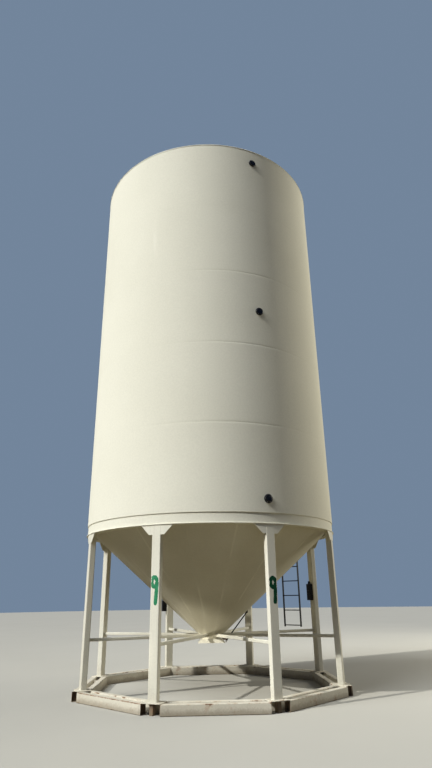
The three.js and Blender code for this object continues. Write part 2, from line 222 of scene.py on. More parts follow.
def cone_radius(height):
    """Radius of the hopper's outer face at a height."""
    return NECK_RADIUS + max(0.0, height - NECK_TOP) / tan(CONE_SLOPE)


def cone_height(radius):
    return NECK_TOP + (radius - NECK_RADIUS) * tan(CONE_SLOPE)


ROOF_SAG = ROOF_SHEET / cos(ROOF_SLOPE)
ROOF_EDGE = EAVE + SEAT + ROOF_SAG - (ROOF_RADIUS - WALL_RADIUS) * tan(ROOF_SLOPE)


def roof_height(radius):
    """Height of the roof's outer face at a radius."""
    return ROOF_EDGE + (ROOF_RADIUS - radius) * tan(ROOF_SLOPE)


def roof_beside_vent(x, y):
    """Height of the roof's outer face at a point of a vent's own frame."""
    return roof_height(hypot(x, y - VENT_LINE))


# Outlines of sections. Each takes an inset and gives (x, y, mark) points, where the mark is 1
# on the corners, which wear first.

LEAST_CORNER = 0.0004
# Bevel of the ends of bars and tubes, and for some the depth of its plain band too
TUBE_EDGE = 0.0008
THIN_EDGE = 0.0006
PLATE_EDGE = (0.0015, 0.0015)
FINE_EDGE = (0.001, 0.002)
ROUND_STEPS = 256


def rounded_rect(width, depth, corner, steps=4, support=0.006):
    """Rectangle with round corners, and a plain point on both sides of each corner."""
    def outline(inset=0.0):
        radius = max(corner - inset, LEAST_CORNER)
        flat = Vector((width / 2 - inset - radius, depth / 2 - inset - radius))
        reach = Vector((min(support, flat.x * 0.8), min(support, flat.y * 0.8)))
        points = []
        for turn in circle(4):
            ahead = Vector((cos(turn), sin(turn)))
            aside = Vector((-ahead.y, ahead.x))
            centre = (ahead + aside) * flat
            points.append((*(centre + ahead * radius - aside * reach), 0.0))
            for angle in spread(turn, turn + pi / 2, steps):
                arm = Vector((cos(angle), sin(angle))) * radius
                points.append((*(centre + arm), 1.0))
            points.append((*(centre + aside * radius - ahead * reach), 0.0))
        return points
    return outline


def disc(radius, steps=24):
    """Circle."""
    def outline(inset=0.0):
        reach = radius - inset
        return [(reach * cos(a), reach * sin(a), 0.0) for a in circle(steps)]
    return outline


def dome(radius, bottom, rise, steps):
    """Quarter of an oval, as (radius, height) points from its rim to just short of its top."""
    turns = spread(0.0, pi / 2, steps)[:-1]
    return [(radius * cos(turn), bottom + rise * sin(turn)) for turn in turns]


class Form:
    """Vertices and faces of one piece, with the wear mark of each vertex. What adds to a form
    gives it back."""

    def __init__(self):
        self.points = []
        self.marks = []
        self.faces = []

    def add_rows(self, rows, close_rows=False, caps=False):
        """Skins closed rows of (point, mark) with quads."""
        numbers = []
        for row in rows:
            first = len(self.points)
            self.points += [Vector(point) for point, _ in row]
            self.marks += [mark for _, mark in row]
            numbers.append(list(range(first, len(self.points))))
        for here, there in zip(numbers, numbers[1:] + numbers[:1] if close_rows else numbers[1:]):
            for c in range(len(here)):
                d = (c + 1) % len(here)
                self.faces.append((here[c], here[d], there[d], there[c]))
        if caps:
            self.faces += [tuple(numbers[0]), tuple(numbers[-1])]
        return self

    def prism(self, outline, start, end, place, bevel=0.0015, support=0.008, wall=None, bore=None):
        """Straight bar, or a tube that is open to the depth of its bore at both ends. start and
        end are numbers or functions of the section's x and y."""
        def row(inset, inward, mark, at_end):
            side = end if at_end else start
            step = -inward if at_end else inward
            return [(place @ Vector((x, y, (side(x, y) if callable(side) else side) + step)),
                     max(mark, m)) for x, y, m in outline(inset)]

        def half(at_end):
            rows = [(bevel, 0, 1), (0, bevel, 1), (0, bevel + support, 0)]
            if wall:
                inner = wall + bevel
                rows = [(inner, bore, 0), (inner, bevel + support, 0), (inner, bevel, 0),
                        (wall, 0, 1)] + rows
            else:
                rows = [(bevel + support, 0, 0)] + rows
            return [row(*values, at_end) for values in rows]

        return self.add_rows(half(False) + half(True)[::-1], caps=True)

    def revolve(self, profile, steps, place=Matrix(), closed=True, sag=None):
        """Turns (radius, height, mark) points round the place's Z axis. A mark of 0 is left out."""
        rows = []
        for radius, height, *mark in profile:
            row = []
            for turn in circle(steps):
                r = radius + (sag(turn, height) if sag and radius else 0.0)
                row.append((place @ point_at(turn, r, height), mark[0] if mark else 0.0))
            rows.append(row)
        return self.add_rows(rows, close_rows=closed)

    def rod(self, path, radius, sides, mark=0.4):
        """Round bar along an open path."""
        rows = []
        for k, point in enumerate(path):
            along = (path[min(k + 1, len(path) - 1)] - path[max(k - 1, 0)]).normalized()
            side = along.cross(Vector((0, 0, 1))).normalized()
            other = along.cross(side)
            rows.append([(point + (side * cos(a) + other * sin(a)) * radius, mark)
                         for a in circle(sides)])
        return self.add_rows(rows, caps=True)


SHARP_ANGLE = radians(33)
MERGE = 1e-6


def make_piece(name, form, material, replaced=()):
    """Turns a form into a finished piece, riding with the silo."""
    mesh = bpy.data.meshes.new(name)
    shape = bmesh.new()
    edge_mark = shape.verts.layers.float.new("edge")
    verts = []
    for point, mark in zip(form.points, form.marks):
        vert = shape.verts.new(point)
        vert[edge_mark] = mark
        verts.append(vert)
    for corners in form.faces:
        shape.faces.new([verts[k] for k in corners])
    bmesh.ops.remove_doubles(shape, verts=shape.verts[:], dist=MERGE)
    bmesh.ops.dissolve_degenerate(shape, edges=shape.edges[:], dist=MERGE)
    bmesh.ops.recalc_face_normals(shape, faces=shape.faces[:])
    for face in shape.faces:
        face.smooth = True
    for edge in shape.edges:
        edge.smooth = edge.calc_face_angle(0.0) < SHARP_ANGLE
    shape.to_mesh(mesh)
    shape.free()
    mesh.materials.append(material)
    return settle(name, mesh, replaced)


def turn_piece(name, profile, steps, material, replaced=(), slot="white_paint", **settings):
    """Piece with the form of a turned profile."""
    return make_piece(name, Form().revolve(profile, steps, **settings), material, replaced)


def settle(name, mesh, replaced=()):
    """Places a finished mesh as a piece of the silo."""
    piece = bpy.data.objects.new(name, mesh)
    bpy.context.collection.objects.link(piece)
    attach(piece, BODY)
    if replaced:
        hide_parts(*replaced)
    return piece


# Node trees

FLOAT = "NodeSocketFloat"
COLOUR = "NodeSocketColor"


def label(name):
    """Name of a socket, from a keyword or from the socket's own name or number."""
    return name.replace("_", " ") if isinstance(name, str) else name


class Tree:
    """Node tree in the making. An input takes a value, another node's output or a list of both."""

    def __init__(self, tree):
        self.tree = tree

    def fill(self, node, inputs):
        for name, value in inputs.items():
            socket = node.inputs[label(name)]
            for part in value if isinstance(value, list) else [value]:
                if isinstance(part, bpy.types.NodeSocket):
                    self.tree.links.new(part, socket)
                else:
                    socket.default_value = part

    def put(self, kind, inputs=(), **settings):
        """Adds a node, sets its fields, fills its inputs and gives its outputs."""
        node = self.tree.nodes.new(kind)
        for field, value in settings.items():
            setattr(node, field, value)
        self.fill(node, dict(inputs))
        return node.outputs

    def socket(self, name, kind, value=None, way="INPUT"):
        socket = self.tree.interface.new_socket(label(name), in_out=way, socket_type=kind)
        if value is not None:
            socket.default_value = value

    def work(self, kind, *values, clamp=False):
        """Arithmetic on one value or two."""
        return self.put("ShaderNodeMath", enumerate(values), operation=kind, use_clamp=clamp)[0]

    def plus(self, first, second):
        return self.work("ADD", first, second)

    def minus(self, first, second, clamp=False):
        return self.work("SUBTRACT", first, second, clamp=clamp)

    def times(self, first, second, clamp=False):
        return self.work("MULTIPLY", first, second, clamp=clamp)

    def over(self, first, second):
        return self.work("DIVIDE", first, second)

    def mix(self, share, first, second, blend="MIX"):
        """Blends two colours, each a triple or a socket."""
        first, second = ((*c, 1) if isinstance(c, tuple) else c for c in (first, second))
        inputs = {0: share, 6: first, 7: second}
        return self.put("ShaderNodeMix", inputs, data_type="RGBA", blend_type=blend)[2]

    def blend(self, share, first, second):
        """Blends two values."""
        return self.put("ShaderNodeMix", {0: share, 2: first, 3: second})[0]

    def ramp(self, value, from_low, from_high, to_low=0.0, to_high=1.0):
        """Smooth step between two values."""
        inputs = enumerate((value, from_low, from_high, to_low, to_high))
        return self.put("ShaderNodeMapRange", inputs, interpolation_type="SMOOTHSTEP")[0]

    def place(self, stretch=(1.0, 1.0, 1.0), offset=(0.0, 0.0, 0.0)):
        """Object coordinates, stretched and shifted."""
        here = self.put("ShaderNodeTexCoord")["Object"]
        return self.put("ShaderNodeMapping", dict(Vector=here, Scale=stretch, Location=offset))[0]

    def noise(self, scale, detail=3.0, roughness=0.5, **place):
        inputs = dict(Vector=self.place(**place), Scale=scale, Detail=detail, Roughness=roughness)
        return self.put("ShaderNodeTexNoise", inputs)[0]

    def bump(self, height, distance, strength, **normal):
        inputs = dict(Height=height, Distance=distance, Strength=strength, **normal)
        return self.put("ShaderNodeBump", inputs)[0]

    def edge_mark(self):
        return self.put("ShaderNodeAttribute", attribute_name="edge")["Fac"]

    def split(self, vector):
        return self.put("ShaderNodeSeparateXYZ", {0: vector})

    def vector(self, x=0.0, y=0.0, z=0.0):
        return self.put("ShaderNodeCombineXYZ", enumerate((x, y, z)))[0]

    def group(self, group, **inputs):
        """Adds a shader group, sets some of its inputs and gives its outputs."""
        return self.put("ShaderNodeGroup", inputs, node_tree=group)


def shader_group(build, **inputs):
    """Shader group named after its builder, which gives the outputs by name."""
    tree = Tree(bpy.data.node_groups.new(build.__name__, "ShaderNodeTree"))
    for name, value in inputs.items():
        tree.socket(name, COLOUR if isinstance(value, tuple) else FLOAT, value)
    results = build(tree, tree.put("NodeGroupInput"))
    for name in results:
        tree.socket(name, COLOUR if name == "Colour" else FLOAT, way="OUTPUT")
    tree.put("NodeGroupOutput", results)
    return tree.tree


def sprayed_coat(t, given):
    """Sprayed coat: slow tone changes over metres, a little mottle, and orange peel."""
    slow = t.noise(given["Tone Size"], 4.0, 0.55)
    colour = t.mix(t.ramp(slow, 0.30, 0.72), given["Shade"], given["Paint"])
    mottle = t.ramp(t.noise(34.0, 3.0, 0.6), 0.25, 0.75, 0.97, 1.03)
    return {
        "Colour": t.mix(1.0, colour, mottle, "MULTIPLY"),
        "Roughness": t.plus(given["Gloss Roughness"], t.ramp(slow, 0.25, 0.75, -0.05, 0.07)),
        "Height": t.noise(given["Peel Size"], 1.0, 0.4),
    }


def rain_streaks(t, given):
    """Rain streaks: noise drawn out downwards, broken into patches."""
    lines = t.noise(given["Density"], 4.0, 0.6, stretch=(1.0, 1.0, 0.035))
    patches = t.noise(0.8, stretch=(1.0, 1.0, 0.45), offset=(3.1, 0.0, 1.7))
    return {"Mask": t.times(t.ramp(lines, 0.55, 0.77), t.ramp(patches, 0.42, 0.70), clamp=True)}


def ground_splash(t, given):
    """Splashed mud and dust, thinning with height."""
    near = t.minus(1.0, t.over(t.split(t.place())[2], given["Reach"]), clamp=True)
    grain = t.times(t.noise(40.0, 5.0, 0.7), 0.6)
    mixed = t.plus(grain, t.times(t.noise(4.0), 0.5))
    return {"Mask": t.ramp(t.plus(t.times(near, 0.9), mixed), 0.80, 1.35)}


def rust(t, given):
    """Rust that starts at worn corners and in blisters, with a darker core and a stained rim."""
    broad = t.noise(given["Blister Size"], 6.0, 0.62)
    fine = t.noise(75.0, 4.0, 0.7)
    pull = t.times(t.edge_mark(), given["Corner Pull"])
    level = t.plus(t.plus(t.times(broad, 0.85), t.times(fine, 0.15)), pull)
    threshold = t.minus(0.92, given["Amount"])
    core = t.plus(threshold, 0.035)
    mask = t.ramp(level, threshold, core)
    tone = t.ramp(fine, 0.35, 0.65)
    return {
        "Mask": mask,
        "Stain": t.ramp(level, t.minus(threshold, 0.10), core),
        "Colour": t.mix(tone, (0.060, 0.031, 0.018), (0.22, 0.105, 0.050)),
        "Height": t.times(mask, fine),
    }


def corner_wear(t, given):
    """Paint rubbed thin along marked corners."""
    chips = t.noise(60.0, 4.0, 0.65)
    return {"Mask": t.ramp(t.plus(t.times(t.edge_mark(), given["Amount"]), chips), 0.92, 1.02)}


def settled_dust(t, given):
    """Dust that lies on faces that look up, in soft drifts."""
    up = t.split(t.put("ShaderNodeNewGeometry")["Normal"])[2]
    mask = t.times(t.ramp(up, 0.25, 0.95), t.ramp(t.noise(6.0, 4.0, 0.6), 0.25, 0.65))
    return {"Mask": t.times(mask, given["Amount"], clamp=True)}


def radial_seams(t, given):
    """Lines along the radial seams of a cone, broken up along their length."""
    x, y, _ = t.split(t.place())
    turn = t.work("ARCTAN2", x, t.times(y, -1.0))
    phase = t.times(t.over(t.minus(turn, given["First Turn"]), tau), given["Seams"])
    off = t.work("ABSOLUTE", t.minus(phase, t.work("ROUND", phase)))
    flat = t.place((1.0, 1.0, 0.0))
    radius = t.put("ShaderNodeVectorMath", {0: flat}, operation="LENGTH")["Value"]
    away = t.over(t.times(off, t.times(radius, tau)), given["Seams"])
    line = t.ramp(away, 0.0, given["Width"], 1.0, 0.0)
    return {"Mask": t.times(line, t.ramp(t.noise(1.3), 0.42, 0.62, 0.08, 1.0))}


COAT = shader_group(sprayed_coat, Paint=(0.8, 0.8, 0.7, 1), Shade=(0.7, 0.7, 0.6, 1),
                    Tone_Size=0.6, Peel_Size=260.0, Gloss_Roughness=0.35)
STREAKS = shader_group(rain_streaks, Density=14.0)
SPLASH = shader_group(ground_splash, Reach=0.5)
RUST = shader_group(rust, Amount=0.3, Corner_Pull=0.15, Blister_Size=9.0)
WEAR = shader_group(corner_wear, Amount=0.5)
DUST = shader_group(settled_dust, Amount=0.5)
SEAM_LINES = shader_group(radial_seams, Seams=16.0, First_Turn=0.0, Width=0.04)

GRIME = (0.30, 0.26, 0.19)
MUD = (0.22, 0.17, 0.11)
DUST_COLOUR = (0.46, 0.41, 0.31)
RUST_STAIN = (0.42, 0.22, 0.10)
PRIMER = (0.20, 0.18, 0.16)


def new_material(build, name=None, **settings):
    """New material, named after its builder or by name. The builder gives its surface's inputs."""
    material = bpy.data.materials.new(name or build.__name__)
    material.use_nodes = True
    tree = Tree(material.node_tree)
    tree.fill(material.node_tree.nodes["Principled BSDF"], build(tree, **settings))
    return material


def paint(t, colour, shade, gloss, rust_amount, streak=0.0, splash=0.0, splash_reach=0.5,
          corner_rust=0.0, blister=9.0, wear=0.0, dust=0.0, specular=0.42, glaze=0.0, seams=None):
    """Weathered sprayed paint on steel."""
    coat = t.group(COAT, Paint=(*colour, 1), Shade=(*shade, 1), Gloss_Roughness=gloss)
    rusty = t.group(RUST, Amount=rust_amount, Corner_Pull=corner_rust, Blister_Size=blister)
    dusty = t.group(DUST, Amount=dust)["Mask"]
    muddy = t.times(t.group(SPLASH, Reach=splash_reach)["Mask"], splash)
    result = t.mix(t.times(t.group(STREAKS)["Mask"], streak), coat["Colour"], GRIME)
    # Lines along radial seams in the given tone: on the cone a painted highlight where the welds
    # catch the light, on the roof darker joints
    if seams:
        count, first, width, share, tone = seams
        lines = t.group(SEAM_LINES, Seams=count, First_Turn=first, Width=width)
        result = t.mix(t.times(lines["Mask"], share), result, tone)
    result = t.mix(t.group(WEAR, Amount=wear)["Mask"], result, PRIMER)
    result = t.mix(t.times(rusty["Stain"], 0.55), result, RUST_STAIN)
    result = t.mix(rusty["Mask"], result, rusty["Colour"])
    result = t.mix(muddy, t.mix(dusty, result, DUST_COLOUR), MUD)
    rough = t.blend(dusty, t.blend(rusty["Mask"], coat["Roughness"], 0.85), 0.9)
    peel = t.bump(coat["Height"], 0.0002, 0.5)
    return {
        "Base Color": result,
        "Roughness": t.blend(muddy, rough, 0.92),
        "Normal": t.bump(rusty["Height"], 0.0012, 0.8, Normal=peel),
        "Specular IOR Level": specular,
        "Coat Weight": glaze,
        "Coat Roughness": 0.1,
    }


# Pale lines along the cone's welded seams are a painted highlight, where the welds catch the light;
# dark lines along the roof's seams are darker joints
PAINTED_SEAM_HIGHLIGHT = (CONE_SEAMS, CONE_SEAM_FIRST, 0.030, 0.42, (0.98, 0.95, 0.82))
DARK_SEAMS = (ROOF_SEAMS, pi / ROOF_SEAMS, 0.030, 0.25, (0.34, 0.30, 0.23))
PAINTS = {
    "wall_paint": dict(
        colour=(0.800, 0.780, 0.670), shade=(0.770, 0.750, 0.640), gloss=0.34, rust_amount=0.02,
        streak=0.05, dust=0.12, specular=0.0, glaze=0.001),
    # The cone's paint is darker than the wall's, though the bin has one paint: partly dust, partly
    # painted shade for the cone's underside, which the light misses
    "cone_paint_with_painted_light": dict(
        colour=(0.740, 0.710, 0.590), shade=(0.650, 0.620, 0.500), gloss=0.32, rust_amount=0.05,
        streak=0.10, specular=0.35, seams=PAINTED_SEAM_HIGHLIGHT),
    "leg_paint": dict(
        colour=(0.800, 0.780, 0.675), shade=(0.755, 0.730, 0.620), gloss=0.42, rust_amount=0.12,
        streak=0.18, splash=0.30, splash_reach=0.60, corner_rust=0.05, blister=14.0, wear=0.2,
        dust=0.25, specular=0.25),
    "skid_paint": dict(
        colour=(0.760, 0.725, 0.620), shade=(0.640, 0.595, 0.490), gloss=0.60, rust_amount=0.26,
        streak=0.30, splash=0.60, splash_reach=0.16, corner_rust=0.09, blister=6.0, wear=0.32,
        dust=0.45),
    "roof_paint": dict(
        colour=(0.790, 0.770, 0.660), shade=(0.730, 0.705, 0.595), gloss=0.42, rust_amount=0.08,
        streak=0.15, corner_rust=0.04, wear=0.1, dust=0.35, seams=DARK_SEAMS),
    # Inside of the skid's tubes: rust and washed-in silt
    "rail_inside": dict(
        colour=(0.310, 0.240, 0.175), shade=(0.180, 0.130, 0.090), gloss=0.85, rust_amount=0.30,
        splash=0.5, splash_reach=0.12, blister=16.0, dust=0.5, specular=0.2),
}


def green_brush(t, deep, pale, dry):
    """Brushed green enamel of the hand-painted figure, with dry bristle lines."""
    bristles = t.noise(160.0, 3.0, 0.6, stretch=(1.0, 1.0, 0.12))
    patches = t.noise(18.0)
    colour = t.mix(t.ramp(patches, 0.3, 0.7), deep, pale)
    return {
        "Base Color": t.mix(t.ramp(bristles, 0.62, 0.80, 0.0, dry), colour, (0.30, 0.46, 0.34)),
        "Roughness": t.ramp(patches, 0.2, 0.8, 0.35, 0.55),
        "Normal": t.bump(bristles, 0.0006, 0.6),
        "Specular IOR Level": 0.12,
    }


def dark_metal(t):
    """Black enamel on the ladder and the gate rod, chalked by the sun."""
    coat = t.group(COAT, Paint=(0.005, 0.006, 0.008, 1), Shade=(0.003, 0.004, 0.005, 1),
                   Gloss_Roughness=0.45)
    rusty = t.group(RUST, Amount=0.12, Corner_Pull=0.05, Blister_Size=30.0)
    colour = t.mix(rusty["Mask"], coat["Colour"], rusty["Colour"])
    return {
        "Base Color": t.mix(t.group(DUST, Amount=0.06)["Mask"], colour, DUST_COLOUR),
        "Roughness": t.blend(rusty["Mask"], coat["Roughness"], 0.85),
        "Normal": t.bump(rusty["Height"], 0.0006, 0.8),
        "Specular IOR Level": 0.12,
    }


def gate_steel(t):
    """Bare plate, dulled by weather, with rust blooms."""
    grain = t.noise(9.0, 4.0, 0.6, stretch=(3.0, 60.0, 60.0))
    patches = t.ramp(t.noise(12.0, 4.0), 0.3, 0.7)
    rusty = t.group(RUST, Amount=0.40, Corner_Pull=0.12, Blister_Size=16.0)
    colour = t.mix(patches, (0.30, 0.29, 0.27), (0.45, 0.44, 0.42))
    return {
        "Base Color": t.mix(rusty["Mask"], colour, rusty["Colour"]),
        "Roughness": t.blend(rusty["Mask"], t.ramp(grain, 0.2, 0.8, 0.38, 0.58), 0.85),
        "Metallic": t.minus(0.85, rusty["Mask"], clamp=True),
        "Normal": t.bump(grain, 0.0003, 0.5),
    }


def case_plastic(t):
    """Black moulded cases of the switch and the junction, greyed by dust."""
    coat = t.group(COAT, Paint=(0.010, 0.010, 0.012, 1), Shade=(0.005, 0.005, 0.006, 1),
                   Gloss_Roughness=0.50, Peel_Size=420.0)
    colour = t.mix(t.group(DUST, Amount=0.5)["Mask"], coat["Colour"], DUST_COLOUR)
    return {
        "Base Color": t.mix(t.group(WEAR, Amount=0.35)["Mask"], colour, (0.09, 0.09, 0.09)),
        "Roughness": coat["Roughness"],
        "Normal": t.bump(coat["Height"], 0.0002, 0.7),
        "Specular IOR Level": 0.3,
    }


def port_rubber(t):
    """Black rubber rim of a sight glass, chalky in patches."""
    coat = t.group(COAT, Paint=(0.006, 0.006, 0.007, 1), Shade=(0.003, 0.003, 0.003, 1),
                   Gloss_Roughness=0.50, Peel_Size=600.0, Tone_Size=14.0)
    share = t.times(t.group(STREAKS, Density=60.0)["Mask"], 0.1)
    return {
        "Base Color": t.mix(share, coat["Colour"], GRIME),
        "Roughness": coat["Roughness"],
        "Normal": t.bump(coat["Height"], 0.0002, 0.6),
    }


def port_glass_painted_shade(t):
    """Sight glass whose near-black colour is painted shade for the unlit inside behind it, with a
    film of dust.
    """
    film = t.noise(26.0, 4.0, 0.65)
    dusty = t.ramp(film, 0.45, 0.8, 0.0, 0.35)
    return {
        # Near-black: painted shade for the unlit inside behind the glass
        "Base Color": t.mix(dusty, (0.004, 0.004, 0.005), (0.05, 0.045, 0.04)),
        "Roughness": t.ramp(film, 0.35, 0.8, 0.05, 0.35),
        "Coat Weight": 0.6,
        "Coat Roughness": 0.04,
    }


def screw_zinc(t):
    """Zinc-plated screw heads, clouded and spotted with rust."""
    cloud = t.noise(140.0)
    rusty = t.group(RUST, Amount=0.42, Corner_Pull=0.0, Blister_Size=90.0)
    colour = t.mix(t.ramp(cloud, 0.3, 0.7), (0.36, 0.36, 0.35), (0.55, 0.55, 0.53))
    return {
        "Base Color": t.mix(rusty["Mask"], colour, rusty["Colour"]),
        "Roughness": t.ramp(cloud, 0.2, 0.8, 0.30, 0.50),
        "Metallic": 0.8,
    }


def studio_floor_matt(t):
    """Plain pale floor that throws back less light than it shows."""
    shown = t.mix(t.noise(0.35), (0.43, 0.415, 0.37), (0.47, 0.455, 0.41))
    seen = t.put("ShaderNodeLightPath")["Is Camera Ray"]
    return {
        "Base Color": t.mix(seen, (0.150, 0.125, 0.075), shown),
        "Roughness": 0.9,
        "Specular IOR Level": 0.1,
    }


# Geometry Nodes trees

def geometry_tree(build, smooth, **inputs):
    """Geometry tree named after its builder, which gives its geometry."""
    tree = Tree(bpy.data.node_groups.new(build.__name__, "GeometryNodeTree"))
    for way in ("INPUT", "OUTPUT"):
        tree.socket("Geometry", "NodeSocketGeometry", way=way)
    for name, value in inputs.items():
        tree.socket(name, "NodeSocketInt" if isinstance(value, int) else FLOAT, value)
    tree.socket("Material", "NodeSocketMaterial")
    given = tree.put("NodeGroupInput")
    made = {"Geometry": build(tree, given), "Shade Smooth": smooth}
    shaded = tree.put("GeometryNodeSetShadeSmooth", made)[0]
    real = tree.put("GeometryNodeRealizeInstances", {"Geometry": shaded})[0]
    painted = tree.put("GeometryNodeSetMaterial", {"Geometry": real, "Material": given["Material"]})
    tree.put("NodeGroupOutput", {"Geometry": painted[0]})
    return tree.tree


def weld_bead(t, given):
    """Weld bead along each path of an edge mesh, with an uneven width."""
    curve = t.put("GeometryNodeMeshToCurve", {"Mesh": given["Geometry"]})[0]
    steps = dict(Curve=curve, Length=given["Ripple"])
    curve = t.put("GeometryNodeResampleCurve", steps, mode="LENGTH")[0]
    least = t.minus(1.0, given["Unevenness"])
    wobble = t.put("FunctionNodeRandomValue", dict(Min=least, Max=1.0, Seed=given["Seed"]),
                   data_type="FLOAT")[1]
    round_bead = dict(Resolution=given["Sides"], Radius=given["Bead Radius"])
    profile = t.put("GeometryNodeCurvePrimitiveCircle", round_bead)[0]
    return t.put("GeometryNodeCurveToMesh", dict(
        Curve=curve, Profile_Curve=profile, Scale=wobble, Fill_Caps=True))[0]


def array(t, piece, count, start, step):
    """A piece repeated along a line."""
    points = t.put("GeometryNodeMeshLine", dict(Count=count, Start_Location=start, Offset=step))[0]
    return t.put("GeometryNodeInstanceOnPoints", dict(Points=points, Instance=piece))[0]


def join(t, *pieces):
    return t.put("GeometryNodeJoinGeometry", {0: list(pieces)})[0]


def transform(t, piece, **change):
    return t.put("GeometryNodeTransform", dict(Geometry=piece, **change))[0]


def wall_ladder(t, given):
    """Wall ladder: flat rails, round rungs with weld collars, and brackets back to the wall."""
    line = t.times(given["Line Radius"], -1.0)
    left = t.times(given["Half Width"], -1.0)
    width = t.times(given["Half Width"], 2.0)
    length = t.minus(given["Rail High"], given["Rail Low"])
    centre = t.times(t.plus(given["Rail High"], given["Rail Low"]), 0.5)

    def pair(piece, y=0.0, z=0.0):
        """A piece at both rails."""
        return array(t, piece, 2, t.vector(left, y, z), t.vector(width))

    def stack(piece, kind, first, y=0.0):
        """A piece repeated upwards."""
        step = t.vector(z=given[kind + " Step"])
        return array(t, piece, given[kind + "s"], t.vector(0.0, y, given[first]), step)

    def bar(radius, depth, **segments):
        """Round bar across the ladder."""
        sizes = dict(Vertices=16, Radius=radius, Depth=depth, **segments)
        upright = t.put("GeometryNodeMeshCylinder", sizes)[0]
        return transform(t, upright, Rotation=(0.0, pi / 2, 0.0))

    def block(x, y, z, **cuts):
        return t.put("GeometryNodeMeshCube", dict(Size=t.vector(x, y, z), **cuts))[0]

    rail = block(given["Rail Thickness"], given["Rail Depth"], length, Vertices_Z=33)
    rung_radius = t.times(given["Rung Diameter"], 0.5)
    rung = bar(rung_radius, width, Side_Segments=6)
    collar = bar(t.times(rung_radius, 1.35), t.times(given["Rail Thickness"], 1.9))
    rungs = stack(join(t, pair(collar), rung), "Rung", "First Rung", line)
    reach = t.minus(given["Line Radius"], given["Wall Radius"])
    reach = t.plus(reach, given["Rung Diameter"])
    plate = block(given["Bracket Plate"], reach, given["Bracket Height"])
    plates = pair(plate, t.plus(line, t.times(reach, 0.5)))
    ladder = join(t, stack(plates, "Bracket", "First Bracket"), rungs, pair(rail, line, centre))
    return transform(t, ladder, Rotation=t.vector(z=given["Azimuth"]))


def screw_circle(t, given):
    """Domed screw heads round a circle."""
    round_line = dict(Vertices=given["Screws"], Radius=given["Circle Radius"])
    points = t.put("GeometryNodeMeshCircle", round_line)[0]
    ball = dict(Segments=12, Rings=6, Radius=given["Head Radius"])
    flat = t.over(given["Head Height"], given["Head Radius"])
    head = transform(t, t.put("GeometryNodeMeshUVSphere", ball)[0], Scale=t.vector(1.0, 1.0, flat))
    placed = t.put("GeometryNodeInstanceOnPoints", dict(Points=points, Instance=head))[0]
    return transform(t, placed, Translation=t.vector(z=given["Level"]))


LADDER_SIZES = dict(
    Azimuth=radians(134.4), Line_Radius=WALL_RADIUS + 0.180, Half_Width=0.218,
    Rail_Thickness=0.010, Rail_Depth=0.050, Rail_Low=low("ladder"), Rail_High=high("ladder"),
    Rungs=32, Rung_Step=0.306, First_Rung=low("ladder") + 0.033, Rung_Diameter=0.020,
    Wall_Radius=WALL_RADIUS, Brackets=5, Bracket_Step=1.8, First_Bracket=3.0,
    Bracket_Plate=0.006, Bracket_Height=0.050)
BEADS = geometry_tree(weld_bead, True, Bead_Radius=0.003, Ripple=0.02, Unevenness=0.2, Sides=8,
                      Seed=3)
LADDER = geometry_tree(wall_ladder, False, **LADDER_SIZES)
SCREWS = geometry_tree(screw_circle, True, Screws=6, Circle_Radius=0.08, Head_Radius=0.006,
                       Head_Height=0.003, Level=0.0)


def grow(name, tree, material, base=None, **values):
    """Runs a geometry tree and gives the result as a plain mesh."""
    holder = bpy.data.objects.new(name, base or bpy.data.meshes.new(name))
    bpy.context.collection.objects.link(holder)
    modifier = holder.modifiers.new(name, "NODES")
    modifier.node_group = tree
    wanted = {label(key): value for key, value in values.items()}
    wanted["Material"] = material
    for item in tree.interface.items_tree:
        if item.item_type == "SOCKET" and item.in_out == "INPUT" and item.name in wanted:
            modifier[item.identifier] = wanted[item.name]
    holder.update_tag()
    view = bpy.context.evaluated_depsgraph_get()
    mesh = bpy.data.meshes.new_from_object(holder.evaluated_get(view))
    holder.modifiers.remove(modifier)
    bpy.data.objects.remove(holder)
    return mesh


def weld_paths(name, paths, material, radius, ripple=0.03, unevenness=0.15, sides=6):
    """Weld beads along paths, which are (points, closed) pairs."""
    base = bpy.data.meshes.new(name + "_paths")
    points, edges = [], []
    for path, closed in paths:
        first = len(points)
        points += path
        edges += [(k, k + 1) for k in range(first, len(points) - 1)]
        if closed:
            edges.append((len(points) - 1, first))
    base.from_pydata(points, edges, [])
    beads = grow(name, BEADS, material, base, Bead_Radius=radius, Ripple=ripple,
                 Unevenness=unevenness, Sides=sides)
    return settle(name, beads)


def join_meshes(name, meshes):
    """One mesh from several that share their materials' order."""
    shape = bmesh.new()
    for mesh in meshes:
        shape.from_mesh(mesh)
    joined = bpy.data.meshes.new(name)
    shape.to_mesh(joined)
    shape.free()
    for material in meshes[0].materials:
        joined.materials.append(material)
    return joined


# Wall

WALL_STEPS = 384
SEAM_HEIGHTS = [high(f"wall_course_{course}") for course in range(1, COURSES)]
SEAM_DIPS = (0.0018, 0.0019, 0.0017, 0.0008)
SEAM_REACH = 0.015
SEAM_ROWS = (0.0, 0.005, 0.010, 0.016, 0.024, 0.036, 0.070, 0.200)
PLAIN_ROWS = (0.0, 0.004, 0.020, 0.250)
SEAM_DEEPEST = radians(14)
# Azimuths of the two upright seams of each wall course, in degrees
SHEET_SEAMS = ((118, -62), (84, -96), (75, -105), (-27.3, 152.7), (96, -84))
OIL_CAN = 0.0014
ROLL_MARK = 0.00035
WALL_BEAD = 0.0022
BEAD_LINE = WALL_RADIUS - 0.0012


def wall_sag(turn, height):
    """Dip of the sheets along their welded seams, and the slight waves of rolled sheet."""
    nearest, depth = min((abs(height - seam), dip) for seam, dip in zip(SEAM_HEIGHTS, SEAM_DIPS))
    share = 0.55 + 0.45 * cos(3 * (turn - SEAM_DEEPEST)) + 0.5 * waves(turn, height, 3.0, 1.0)
    dip = depth * max(0.0, share) * exp(-(nearest / SEAM_REACH) ** 2)
    sheet = OIL_CAN * waves(turn, height, 2.2, 0.55) + ROLL_MARK * waves(turn, height, 26, 0.10)
    return sheet - dip


